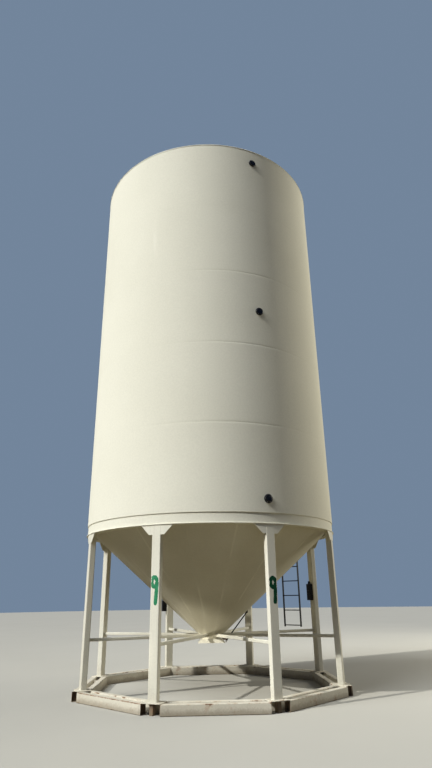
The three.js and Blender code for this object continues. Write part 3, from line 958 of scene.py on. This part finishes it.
def build_wall(material):
    for course in range(1, COURSES + 1):
        node = f"wall_course_{course}"
        bottom, top = low(node), high(node)
        below = SEAM_ROWS if course > 1 else PLAIN_ROWS
        above = SEAM_ROWS if course < COURSES else PLAIN_ROWS
        rows = [bottom + offset for offset in below] + [(bottom + top) / 2]
        rows += [top - offset for offset in reversed(above)]
        profile = [(WALL_RADIUS, height) for height in rows]
        inner = (rows[-1], rows[len(rows) // 2], rows[0])
        profile += [(WALL_RADIUS - WALL_SHEET, height) for height in inner]
        turn_piece(f"wall_sheet_{course}", profile, WALL_STEPS, material, [node], sag=wall_sag)


def ring_path(radius, height, steps=720, sag=None):
    """Closed circle of points at a height."""
    return [point_at(turn, radius + (sag(turn, height) if sag else 0.0), height)
            for turn in circle(steps)], True


def upright_path(azimuth, bottom, top):
    """Open line up the wall at an azimuth."""
    return [point_at(azimuth, BEAD_LINE + wall_sag(azimuth, height), height)
            for height in spread(bottom, top, 24)], False


def slope_path(azimuth, radii, height_at, sag, inwards=0.0, downwards=0.0):
    """Open line along a slope of the cone or the roof at an azimuth."""
    line = []
    for radius in radii:
        height = height_at(radius)
        reach = radius - inwards + sag(azimuth, height)
        line.append(point_at(azimuth, reach, height - downwards))
    return line, False


def placed_path(place, outline, height_at):
    """Closed line round an outline in a place, at heights from its x and y."""
    return [place @ Vector((x, y, height_at(x, y))) for x, y, _ in outline()], True


def build_wall_beads(material):
    paths = [ring_path(BEAD_LINE, height, sag=wall_sag) for height in SEAM_HEIGHTS]
    for course, azimuths in enumerate(SHEET_SEAMS, start=1):
        ends = low(f"wall_course_{course}"), high(f"wall_course_{course}")
        paths += [upright_path(radians(azimuth), *ends) for azimuth in azimuths]
    weld_paths("wall_weld_beads", paths, material, WALL_BEAD, unevenness=0.12)


# Ring beam

def build_beam(material):
    chamfer = 0.0018
    fillet = 0.003
    plate_top = BEAM_LOW + BEAM_PLATE
    shelf_low = BEAM_HIGH - BEAM_PLATE
    web_inner = BEAM_WEB - BEAM_PLATE
    turn_piece("band_beam", [
        (BEAM_TOE, BEAM_LOW, 0.5), (BEAM_LIP - chamfer, BEAM_LOW, 1.0),
        (BEAM_LIP, BEAM_LOW + chamfer, 1.0), (BEAM_LIP, plate_top - chamfer, 1.0),
        (BEAM_LIP - chamfer, plate_top, 1.0), (BEAM_WEB + fillet, plate_top),
        (BEAM_WEB, plate_top + fillet), (BEAM_WEB, shelf_low), (WALL_RADIUS, shelf_low, 1.0),
        (WALL_RADIUS, BEAM_HIGH, 1.0), (BEAM_SHELF, BEAM_HIGH), (BEAM_SHELF, shelf_low),
        (web_inner, shelf_low), (web_inner, plate_top), (BEAM_TOE, plate_top, 0.5),
    ], ROUND_STEPS, material, ["ring_beam"])


# Hopper cone

CONE_STEPS = 320
CONE_STATIONS = 26
CONE_DIP = 0.0028
CONE_DIP_REACH = 0.05
CONE_STIFF_HEIGHT = 0.15
CONE_WAVES = 0.0035
CONE_BEAD = 0.0034


def cone_sag(turn, height):
    """Slight dip of the cone's sheets along their radial seams, and their waves."""
    radius = max(cone_radius(height), NECK_RADIUS)
    phase = (turn - CONE_SEAM_FIRST) / (tau / CONE_SEAMS)
    away = abs(phase - round(phase)) * tau / CONE_SEAMS * radius
    rise = min(1.0, max(0.0, (height - NECK_TOP) / CONE_STIFF_HEIGHT))
    dip = CONE_DIP * exp(-(away / CONE_DIP_REACH) ** 2)
    return rise * (CONE_WAVES * waves(turn, height, radius * 1.6, 1.1) - dip)


def build_cone(material):
    offset = CONE_SHEET / sin(CONE_SLOPE)
    outer = [(r, cone_height(r)) for r in spread(NECK_RADIUS, CONE_RIM, CONE_STATIONS)]
    inner = [(max(radius - offset, NECK_HOLE), height) for radius, height in reversed(outer[1::4])]
    profile = [(NECK_HOLE, NECK_LOW), (NECK_RADIUS, NECK_LOW, 0.4)] + outer + inner
    profile.append((NECK_HOLE, cone_height(NECK_HOLE + offset)))
    turn_piece("cone_shell", profile, CONE_STEPS, material, ["hopper_cone"], sag=cone_sag)


def build_cone_beads(material):
    radii = spread(NECK_RADIUS + 0.02, CONE_RIM - 0.03, 24)
    paths = [slope_path(CONE_SEAM_FIRST + turn, radii, cone_height, cone_sag, inwards=0.001)
             for turn in circle(CONE_SEAMS)]
    paths.append(ring_path(NECK_RADIUS + 0.0008, NECK_TOP, 120))
    weld_paths("cone_weld_beads", paths, material, CONE_BEAD)


# Legs, gussets and braces

FRAME_BEAD = 0.0045
# How far a bead's middle lies off its joint
BEAD_RISE = 0.002
TOLERANCE = 0.0001


def rolled_gusset(form, place):
    """Trapezoid plate rolled to the ring beam, welded to both flanks of the leg's top."""
    columns, rows = 14, 6
    bottom = LEG_TOP - GUSSET_HEIGHT
    back = GUSSET_RADIUS - GUSSET_PLATE
    chamfer = 0.002

    def loop(height, face, mark):
        share = (height - bottom) / GUSSET_HEIGHT
        width = GUSSET_LOW_WIDTH + (GUSSET_TOP_WIDTH - GUSSET_LOW_WIDTH) * share
        side = width / 2 / GUSSET_RADIUS
        edge = side - chamfer / GUSSET_RADIUS
        turns = spread(-edge, edge, columns)
        line = [(-side, face - chamfer, 1.0), (turns[0], face, 1.0)]
        line += [(turn, face, mark) for turn in turns[1:-1]]
        line += [(turns[-1], face, 1.0), (side, face - chamfer, 1.0), (side, back, 0.0)]
        line += [(turn, back, 0.0) for turn in turns[-2:0:-1]] + [(-side, back, 0.0)]
        return [(place @ point_at(turn, radius, height), m) for turn, radius, m in line]

    loops = [loop(bottom, GUSSET_RADIUS - chamfer, 1.0), loop(bottom + chamfer, GUSSET_RADIUS, 1.0)]
    heights = [bottom + 4 * chamfer, *spread(bottom, LEG_TOP, rows)[1:]]
    form.add_rows(loops + [loop(height, GUSSET_RADIUS, 0.0) for height in heights], caps=True)


def over_pocket(leg):
    """Legs beside the front and back sides stand over an open corner of the skid."""
    return leg % 4 in (1, 2)


def build_legs(material, foot_paint, stub_paint):
    for leg in LEGS:
        azimuth = leg_azimuth(leg)
        form = Form()

        def plate(size, bottom, top, *edges):
            width, inner, outer = size
            section = rounded_rect(width, outer - inner, PLATE_CORNER)
            form.prism(section, bottom, top, polar(azimuth, (outer + inner) / 2), *edges)

        form.prism(rounded_rect(*LEG_SECTION, LEG_CORNER, 6), FOOT_TOP - OVERLAP, LEG_TOP,
                   polar(azimuth, LEG_LINE), TUBE_EDGE)
        plate(FOOT_PLATE, FOOT_LOW, FOOT_TOP, *PLATE_EDGE)
        if over_pocket(leg):
            plate(FOOT_STUB, 0.0, FOOT_LOW + OVERLAP)
        rolled_gusset(form, polar(azimuth))
        piece = make_piece(f"leg_post_{leg}", form, material, [f"leg_{leg}"])
        piece.data.materials.append(foot_paint)
        piece.data.materials.append(stub_paint)
        for face in piece.data.polygons:
            height = face.center.z
            on_foot = height < FOOT_TOP + TOLERANCE
            face.material_index = int(on_foot) + int(height < FOOT_LOW - TOLERANCE)


def brace_start(x, y):
    """Radius where the brace meets the cone, at a point of its section."""
    return sqrt(max(cone_radius(BRACE_MIDDLE + y), NECK_RADIUS) ** 2 - x * x) + SEAT


def build_braces(material):
    section = rounded_rect(BRACE_SIZE, BRACE_SIZE, BRACE_CORNER)
    for leg in LEGS:
        place = polar(leg_azimuth(leg), 0.0, BRACE_MIDDLE) @ OUTWARDS
        form = Form().prism(section, brace_start, LEG_INNER - SEAT, place, THIN_EDGE)
        make_piece(f"brace_tube_{leg}", form, material, [f"brace_{leg}"])


def build_frame_beads(material):
    """Fillet welds at the legs' feet and at both ends of the braces."""
    paths = []
    foot = rounded_rect(LEG_SECTION[0] + 0.004, LEG_SECTION[1] + 0.004, LEG_CORNER)
    tube = rounded_rect(BRACE_SIZE + 0.003, BRACE_SIZE + 0.003, BRACE_CORNER)
    for leg in LEGS:
        azimuth = leg_azimuth(leg)
        at_foot = polar(azimuth, LEG_LINE, FOOT_TOP + BEAD_RISE)
        at_brace = polar(azimuth, 0.0, BRACE_MIDDLE) @ OUTWARDS
        paths.append(placed_path(at_foot, foot, lambda x, y: 0.0))
        paths.append(placed_path(at_brace, tube, lambda x, y: LEG_INNER - 0.003))
        paths.append(placed_path(at_brace, tube, lambda x, y: brace_start(x, y) + BEAD_RISE))
    weld_paths("frame_weld_beads", paths, material, FRAME_BEAD, ripple=0.009, unevenness=0.35,
               sides=8)


# Skid

def is_front_or_back(side):
    return side % (SIDES // 2) == 0


def rail_end(side, neighbour):
    """Reach of an outer rail from the side's middle, as a function of the apothem."""
    if is_front_or_back(side) or is_front_or_back(neighbour):
        return lambda apothem: STOP_SHORT
    if abs(sin(side * BAY)) > abs(sin(neighbour * BAY)):
        return lambda apothem: RUN_PAST
    return lambda apothem: (OUTER_RAIL_IN - SEAT - apothem * cos(BAY)) / sin(BAY)


def mitre(apothem):
    return apothem * tan(BAY / 2) - SEAT / 2


def build_skid(material, inside):
    section = rounded_rect(RAIL_WIDTH, SKID_TOP, RAIL_CORNER, 5)
    spacer = rounded_rect(*SPACER, PLATE_CORNER)
    outer_middle = SKID_APOTHEM - RAIL_WIDTH / 2
    inner_middle = INNER_RAIL_OUT - RAIL_WIDTH / 2
    for side in range(SIDES):
        form = Form()
        turned = polar(side * BAY)

        def rail(line, left, right, **bore):
            form.prism(section, lambda x, y: -left(line - x), lambda x, y: right(line - x),
                       turned @ shift(0, -line, SKID_TOP / 2) @ ALONG_SIDE, TUBE_EDGE, **bore)

        rail(outer_middle, rail_end(side, side - 1), rail_end(side, side + 1), wall=RAIL_WALL,
             bore=RAIL_SILT)
        if side == WORN_SIDE:
            wear_upper_edge(form, turned.inverted())
        rail(inner_middle, mitre, mitre)
        for hand in (-1, 1):
            place = turned @ shift(hand * SPACER_OFFSET, 0, SKID_TOP / 2) @ OUTWARDS
            form.prism(spacer, INNER_RAIL_OUT - OVERLAP, OUTER_RAIL_IN + OVERLAP, place)
        number = side + 1
        piece = make_piece(f"skid_rails_{number}", form, material, [f"skid_side_{number}"])
        line_insides(piece, turned.inverted(), outer_middle, inside)


def wear_upper_edge(form, back):
    """Marks an outer rail's upper front corner, where boots and rain have worn it most."""
    for k, point in enumerate(form.points):
        local = back @ point
        if local.z > SKID_TOP - RAIL_CORNER and -local.y > SKID_APOTHEM - RAIL_CORNER:
            form.marks[k] *= WORN_EDGE


def line_insides(piece, back, rail_middle, inside):
    """Gives the faces inside the outer rail's bore their own finish."""
    piece.data.materials.append(inside)
    half_width = (RAIL_WIDTH - RAIL_WALL) / 2
    half_height = (SKID_TOP - RAIL_WALL) / 2
    for face in piece.data.polygons:
        centre = back @ face.center
        across = abs(-centre.y - rail_middle)
        if across < half_width and abs(centre.z - SKID_TOP / 2) < half_height:
            face.material_index = 1


# Outlet

def build_skirt(material):
    """Flared skirt under the neck, with folded corners."""
    flare = (SKIRT_BOTTOM - SKIRT_TOP) / (SKIRT_HIGH - SKIRT_LOW)
    ceiling = SKIRT_HIGH - SKIRT_SHEET

    def section(height, inset=0.0):
        width = SKIRT_TOP + (SKIRT_HIGH - height) * flare - 2 * inset
        return rounded_rect(width, width, SKIRT_CORNER)()

    def row(height, inset=0.0, mark=0.0):
        return [(Vector((x, y, height)), max(mark, m * 0.6)) for x, y, m in section(height, inset)]

    def hole_row(height):
        turns = [atan2(y, x) for x, y, _ in section(height)]
        return [(Vector((NECK_HOLE * cos(turn), NECK_HOLE * sin(turn), height)), 0.0)
                for turn in turns]

    form = Form().add_rows([
        row(SKIRT_LOW, mark=1.0), row(SKIRT_LOW + 0.012), row(SKIRT_HIGH - 0.004),
        row(SKIRT_HIGH, 0.004, 1.0), hole_row(SKIRT_HIGH), hole_row(ceiling),
        row(ceiling, SKIRT_SHEET), row(SKIRT_LOW, SKIRT_SHEET, 1.0),
    ], close_rows=True)
    make_piece("outlet_hood", form, material, ["outlet_skirt"])


def build_gate(steel):
    """Slide gate in its slot, with its folded lip."""
    gate = Form()
    low_x, low_y, low_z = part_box("slide_gate")[0]
    high_x, high_y, high_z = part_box("slide_gate")[1]
    plate_low = high_z - GATE_PLATE
    lip, lip_width = GATE_LIP
    gate.prism(rounded_rect(high_x - low_x, high_y - low_y, 0.012), plate_low, high_z,
               shift((low_x + high_x) / 2, (low_y + high_y) / 2), *FINE_EDGE)
    gate.prism(rounded_rect(lip, lip_width, 0.002), low_z, plate_low + OVERLAP,
               shift(high_x - lip / 2), *FINE_EDGE)
    make_piece("gate_plate", gate, steel, ["slide_gate"])


def build_gate_rod(material):
    """Bent control rod from the gate's lip up the cone to its lug."""
    form = Form()
    start, end = Vector(ROD_LOW), Vector(ROD_HIGH)
    form.rod([start.lerp(end, share) for share in spread(0.0, 1.0, 12)], ROD_RADIUS, 14)
    eye = rounded_rect(ROD_END, ROD_END, 0.005)
    half = ROD_END / 2
    lug_middle = (end.z - half + high("gate_rod")) / 2

    def lug_start(x, y):
        return cone_radius(lug_middle + y) + SEAT

    for section, first, last, place in (
            (eye, start.z - half, start.z + half, shift(start.x)),
            (eye, low("gate_rod", 0), start.x, shift(z=start.z) @ ALONG_SIDE),
            (rounded_rect(*ROD_LUG, 0.004), lug_start, high("gate_rod", 0),
             shift(z=lug_middle) @ ALONG_SIDE)):
        form.prism(section, first, last, place, *FINE_EDGE)
    make_piece("control_rod", form, material, ["gate_rod"])


# Roof, filling lid and vents

ROOF_WAVES = 0.004
ROOF_BEAD = 0.0045


def build_roof(material):
    drip_inner = ROOF_RADIUS - DRIP_SHEET
    fill_inner = FILL_RADIUS - ROOF_SHEET
    drip_low = EAVE - DRIP_HEIGHT
    profile = [(drip_inner, drip_low, 1.0), (ROOF_RADIUS, drip_low, 1.0),
               (ROOF_RADIUS, ROOF_EDGE - 0.004, 0.4),
               (ROOF_RADIUS - 0.003, ROOF_EDGE + 0.0012, 1.0)]
    profile += [(r, roof_height(r)) for r in spread(ROOF_RADIUS, FILL_RADIUS, 14)[1:]]
    profile += [(FILL_RADIUS, FILL_TOP, 1.0), (fill_inner, FILL_TOP, 1.0)]
    profile += [(r, roof_height(r) - ROOF_SAG) for r in (fill_inner, drip_inner)]
    turn_piece("roof_cone", profile, ROUND_STEPS, material, ["roof"], sag=roof_sag)


def roof_sag(turn, height):
    """Slight waves of the roof sheets, none at the eave and the filling neck."""
    rise = (height - EAVE) / (FILL_TOP - EAVE)
    return ROOF_WAVES * max(0.0, 4 * rise * (1 - rise)) * waves(turn, height, 2.5, 1.4)


def build_roof_beads(material):
    radii = spread(ROOF_RADIUS - 0.03, FILL_RADIUS + 0.01, 14)
    paths = [slope_path((seam + 0.5) * tau / ROOF_SEAMS, radii, roof_height, roof_sag,
                        downwards=0.001) for seam in range(ROOF_SEAMS)]
    neck = FILL_RADIUS + BEAD_RISE, roof_height(FILL_RADIUS) + BEAD_RISE
    paths.append(ring_path(*neck, 160))
    for hand in (-1, 1):
        place = polar(hand * VENT_AZIMUTH, VENT_LINE)
        paths.append(placed_path(place, disc(VENT_STUB + BEAD_RISE, 60),
                                 lambda x, y: roof_beside_vent(x, y) + BEAD_RISE))
    weld_paths("roof_weld_beads", paths, material, ROOF_BEAD)


def build_lid(material):
    """Domed filling lid with its rolled rim."""
    seat = FILL_TOP + SEAT
    dome_low = seat + LID_RIM
    inner = LID_RADIUS - LID_RIM
    first, *others = dome(LID_RADIUS, dome_low, LID_HIGH - dome_low, 12)
    turn_piece("lid_dome", [
        (0.0, seat), (inner, seat), (inner, LID_LOW, 1.0), (LID_RADIUS - 0.001, LID_LOW, 1.0),
        (LID_RADIUS, LID_LOW + 0.002, 1.0), (*first, 0.2), *others, (0.0, LID_HIGH),
    ], 96, material, ["fill_lid"], closed=False)


def build_vents(material):
    """Roof vents: a stub, a hood with a rolled rim, and the straps between them."""
    hood_low = roof_height(VENT_LINE) + VENT_CLEARANCE
    shoulder = hood_low + VENT_RISE / 3
    outer = dome(VENT_HOOD, shoulder, VENT_RISE, 12)
    inner = [(r - VENT_SHEET, height - 0.002) for r, height in reversed(outer) if r > 0.02]
    rim = [(VENT_HOOD - VENT_SHEET, hood_low + 0.004, 0.5), (VENT_HOOD - 0.002, hood_low, 1.0),
           (VENT_HOOD, hood_low + 0.003, 1.0)]
    crown = [(0.0, VENT_TOP), (0.0, VENT_TOP - VENT_SHEET)]
    for name, hand in (("left", -1), ("right", 1)):
        place = polar(hand * VENT_AZIMUTH, VENT_LINE)
        form = Form().prism(disc(VENT_STUB, 48), lambda x, y: roof_beside_vent(x, y) - OVERLAP,
                            shoulder + 0.02, place, TUBE_EDGE)
        form.revolve(rim + outer + crown + inner, 72, place)
        for turn in circle(4):
            across = place @ turn_round(turn + STRAP_TURN) @ shift(z=shoulder) @ OUTWARDS
            form.prism(rounded_rect(*VENT_STRAP, 0.001), VENT_STUB - 0.004, VENT_HOOD - 0.002,
                       across, THIN_EDGE, 0.001)
        make_piece(f"vent_hood_{name}", form, material, [f"roof_vent_{name}"])


# Fittings on the wall and the legs

def build_ports(rubber, glass, zinc):
    """Sight glasses: a rubber rim that hugs the wall, a domed glass and six screws."""
    foot = WALL_RADIUS - 0.004
    face = WALL_RADIUS + PORT_DEPTH
    pane_radius = PORT_GLASS - 0.0015
    pane = [(0.0, face - 0.008), (pane_radius, face - 0.008),
            *dome(pane_radius, face - 0.001, PORT_BULGE + 0.001, 8), (0.0, face + PORT_BULGE)]
    screw_meshes = []
    for port in range(1, 4):
        place = polar(PORT_AZIMUTH, 0.0, middle(f"sight_glass_{port}")) @ OUTWARDS
        turn_piece(f"port_rim_{port}", [
            (PORT_GLASS - 0.010, foot), (PORT_RIM, foot), (PORT_RIM, face - 0.006),
            (PORT_RIM - 0.002, face - 0.002, 1.0), (PORT_RIM - 0.006, face, 1.0),
            (PORT_GLASS + 0.003, face, 0.5), (PORT_GLASS - 0.001, face - 0.003, 1.0),
            (PORT_GLASS - 0.002, face - 0.010), (PORT_GLASS - 0.010, face - 0.012),
        ], 64, rubber, [f"sight_glass_{port}"], "sight_glass", place=place)
        # The pane's near-black colour is painted shade for the unlit inside
        turn_piece(f"port_pane_{port}", pane, 64, glass, slot="sight_glass", place=place,
                   closed=False)
        screws = grow("screws", SCREWS, zinc, Screws=6, Head_Radius=0.0048, Head_Height=0.0028,
                      Circle_Radius=(PORT_RIM + PORT_GLASS) / 2 - 0.001, Level=face)
        screws.transform(place)
        screw_meshes.append(screws)
    settle("port_screws", join_meshes("port_screws", screw_meshes))


def build_ladder(material):
    mesh = grow("wall_ladder", LADDER, material, **LADDER_SIZES)
    settle("wall_ladder", mesh, ["ladder"])


def build_case(name, size, place, replaced, material, zinc, stub_top=None):
    """Electric case: a tray, a cover with a shadow gap, a latch, and cover screws."""
    width, height, depth = size
    cover_back = depth - CASE_COVER
    body = rounded_rect(width, height, 0.010)
    neck = rounded_rect(width - 0.008, height - 0.008, 0.008)
    form = Form().prism(body, 0.0, cover_back - CASE_GAP, place, 0.002)
    form.prism(neck, cover_back - CASE_GAP - OVERLAP, cover_back, place, 0.001)
    form.prism(body, cover_back, depth, place, 0.004)
    form.prism(rounded_rect(*LATCH, 0.004), depth - 0.006, depth - 0.0005,
               place @ shift(width / 2 - 0.016), *FINE_EDGE)
    if stub_top:
        upright = place @ shift(z=CONDUIT_LINE) @ turn_round(-pi / 2, "X")
        for radius, start, end in ((CONDUIT, height / 2 - 0.004, height / 2 + 0.020),
                                   (CONDUIT - 0.003, height / 2, stub_top)):
            form.prism(disc(radius), start, end, upright, 0.001, 0.003)
    make_piece(name, form, material, [replaced])
    screws = grow(name + "_screws", SCREWS, zinc, Screws=4, Head_Radius=0.005, Head_Height=0.003,
                  Circle_Radius=min(width, height) / 2 - 0.012, Level=depth - 0.0008)
    screws.transform(place @ turn_round(pi / 4))
    settle(name + "_screws", screws)


def build_cases(material, zinc):
    """Switch case on the back of its leg, junction case on the flank of its own."""
    behind = turn_round(pi)
    beside = shift(LEG_SECTION[0] / 2 + SEAT) @ turn_round(pi / 2)
    for name, node, leg, size, radius, turned in (
            ("switch_case", "switch_box", SWITCH_LEG, SWITCH_CASE, LEG_INNER - SEAT, behind),
            ("junction_case", "junction_box", JUNCTION_LEG, JUNCTION_CASE, LEG_LINE, beside)):
        centre = low(node) + size[1] / 2
        place = polar(leg_azimuth(leg), radius, centre) @ turned @ OUTWARDS
        stub_top = high(node) - centre if turned is behind else None
        build_case(name, size, place, node, material, zinc, stub_top)


# Hand-painted figure on the two front legs

STROKE = 0.064
LOOP_HALF = (0.044, 0.068)
TAIL_LEAN = 0.022
PAINT_FILM = 0.0007
FILM_ROOT = 0.0005
STROKE_WOBBLE = 0.16
DRY_ENDS = (0.6, 0.88)
STROKE_PROFILE = ((-1, 0), (-0.96, 0.6), (-0.5, 1), (0, 1), (0.5, 1), (0.96, 0.6), (1, 0))


def figure_path(bottom, top):
    """Middle line of a 9, in the leg's face: an oval loop, then a nearly straight tail."""
    half_x, half_z = LOOP_HALF
    centre = top - STROKE / 2 - half_z
    points = [Vector((half_x * cos(turn), 0, centre + half_z * sin(turn)))
              for turn in spread(0.0, tau, 40)]
    for share in spread(0.0, 1.0, 16)[1:]:
        sideways = half_x - TAIL_LEAN * share ** 1.4
        points.append(Vector((sideways, 0, centre + (bottom - centre) * share)))
    return points


def corner_depth(x):
    """How far the leg's round corner falls back from its face."""
    past = max(0.0, abs(x) - (LEG_SECTION[0] / 2 - LEG_CORNER))
    return LEG_CORNER - sqrt(max(LEG_CORNER ** 2 - past ** 2, 0.0))


def build_figure(leg, offset, bottom, top, material):
    """Brushed 9 on a leg: a thin film of paint with an uneven width and a dry start and end."""
    path = figure_path(bottom, top)
    last = len(path) - 1
    place = polar(leg_azimuth(leg), LEG_FACE)
    reach = LEG_SECTION[0] / 2 - 0.001
    rows = []
    for k, point in enumerate(path):
        along = (path[min(k + 1, last)] - path[max(k - 1, 0)]).normalized()
        from_end = min(k, last - k)
        taper = DRY_ENDS[from_end] if from_end < len(DRY_ENDS) else 1.0
        wobble = 1 + STROKE_WOBBLE * noise.noise(Vector((k * 0.35, leg * 7.0, 0)))
        half = STROKE / 2 * wobble * taper
        film = PAINT_FILM * (1 + k / len(path))
        row = []
        for across, share in STROKE_PROFILE:
            x = max(-reach, min(reach, point.x + offset + along.z * half * across))
            z = point.z - along.x * half * across
            proud = film * share if share else -FILM_ROOT
            row.append((place @ Vector((x, corner_depth(x) - proud, z)), 0.0))
        rows.append(row)
    form = Form().add_rows(rows, caps=True)
    make_piece(f"painted_nine_{leg}", form, material)


# Leg, offset, bottom and top of each figure, then the deep and pale green and the dry share. The
# second figure's greens and dry share are darker than the first's: painted shade, for the leg
# turned away from the light.
FIGURES = (
    (1, -0.012, 1.470, 1.908, (0.028, 0.205, 0.095), (0.052, 0.300, 0.150), 0.35),
    # Darker greens and little dry bristle: painted shade on the leg turned from the light
    (2, 0.000, 1.466, 1.876, (0.004, 0.050, 0.022), (0.008, 0.078, 0.038), 0.02),
)

# Stage, lights and camera

FLOOR_RADIUS = 70
FLOOR_LEVEL = -0.001
SILO_MIDDLE = Vector((0, 0, 5.5))
SUN_DISTANCE = 40
BACKDROP = (0.17, 0.235, 0.33)
AMBIENT = (0.028, 0.046, 0.090)

# Pinhole camera that the photograph's legs, wall, band, seams and eave fit
PHOTO_HEIGHT = 768
FOCAL_PIXELS = 541.1
SENSOR = 36.0
CAMERA_PLACE = (-0.258, -11.239, 1.583)
CAMERA_PITCH = radians(21.434)
CAMERA_YAW = radians(2.113)
CAMERA_ROLL = radians(-0.852)


def build_stage():
    bpy.ops.mesh.primitive_circle_add(vertices=96, radius=FLOOR_RADIUS, fill_type="NGON",
                                      location=(0, 0, FLOOR_LEVEL))
    floor = bpy.context.object
    floor.name = "studio_floor"
    floor.data.materials.append(new_material(studio_floor_matt))


def towards(azimuth, elevation, distance=SUN_DISTANCE):
    """Point seen from the silo's middle at an azimuth and an elevation in degrees."""
    turn, rise = radians(azimuth), radians(elevation)
    return SILO_MIDDLE + point_at(turn, cos(rise) * distance, sin(rise) * distance)


def add_light(name, kind, place, target=SILO_MIDDLE, **settings):
    data = bpy.data.lights.new(name, kind)
    for field, value in settings.items():
        setattr(data, field, value)
    light = bpy.data.objects.new(name, data)
    bpy.context.collection.objects.link(light)
    light.location = place
    light.rotation_euler = (target - Vector(place)).to_track_quat("-Z", "Y").to_euler()


def build_lights():
    add_light("key", "SUN", towards(-60, 36), energy=2.95, color=(1.0, 0.985, 0.915),
              angle=radians(1.2))
    add_light("soft_sky", "SUN", towards(-54, 55), energy=1.9, color=(0.91, 0.96, 1.0),
              angle=radians(26))
    add_light("warm_fill", "AREA", towards(105, 0, 17) + Vector((0, 0, 3.0)), energy=2120,
              color=(1.0, 0.955, 0.80), shape="RECTANGLE", size=9, size_y=11)
    add_light("outlet_glow", "SPOT", (-6.0, -8.0, 0.25), Vector((-0.05, -0.10, 0.96)),
              energy=1500, color=(1.0, 0.94, 0.78), spot_size=radians(9), spot_blend=1.0,
              shadow_soft_size=0.15)
    world = bpy.data.worlds.new("studio")
    world.use_nodes = True
    tree = Tree(world.node_tree)
    seen = tree.put("ShaderNodeLightPath")["Is Camera Ray"]
    tree.fill(world.node_tree.nodes["Background"], {"Color": tree.mix(seen, AMBIENT, BACKDROP)})
    bpy.context.scene.world = world
    bpy.context.scene.view_settings.view_transform = "Standard"


def build_camera():
    data = bpy.data.cameras.new("photo_camera")
    data.sensor_width = SENSOR
    data.lens = FOCAL_PIXELS / PHOTO_HEIGHT * SENSOR
    camera = bpy.data.objects.new("photo_camera", data)
    bpy.context.collection.objects.link(camera)
    upright = turn_round(-CAMERA_YAW) @ turn_round(pi / 2 + CAMERA_PITCH, "X")
    camera.matrix_world = shift(*CAMERA_PLACE) @ upright @ turn_round(CAMERA_ROLL)
    bpy.context.scene.camera = camera


def build_silo():
    wall, cone, leg, skid, roof, inside = (
        new_material(paint, name, **values) for name, values in PAINTS.items())
    dark, zinc, case = (new_material(build) for build in (dark_metal, screw_zinc, case_plastic))
    build_wall(wall)
    build_wall_beads(wall)
    build_beam(wall)
    build_cone(cone)
    build_cone_beads(cone)
    build_legs(leg, skid, inside)
    build_braces(leg)
    build_frame_beads(leg)
    build_skid(skid, inside)
    build_skirt(leg)
    build_gate(new_material(gate_steel))
    build_gate_rod(dark)
    build_roof(roof)
    build_roof_beads(roof)
    build_lid(roof)
    build_vents(roof)
    build_ports(new_material(port_rubber), new_material(port_glass_painted_shade), zinc)
    build_ladder(dark)
    build_cases(case, zinc)
    for number, (leg_number, *place, deep, pale, dry) in enumerate(FIGURES, start=1):
        green = new_material(green_brush, f"green_brush_{number}", deep=deep, pale=pale, dry=dry)
        build_figure(leg_number, *place, green)


build_camera()
build_silo()
build_stage()
build_lights()
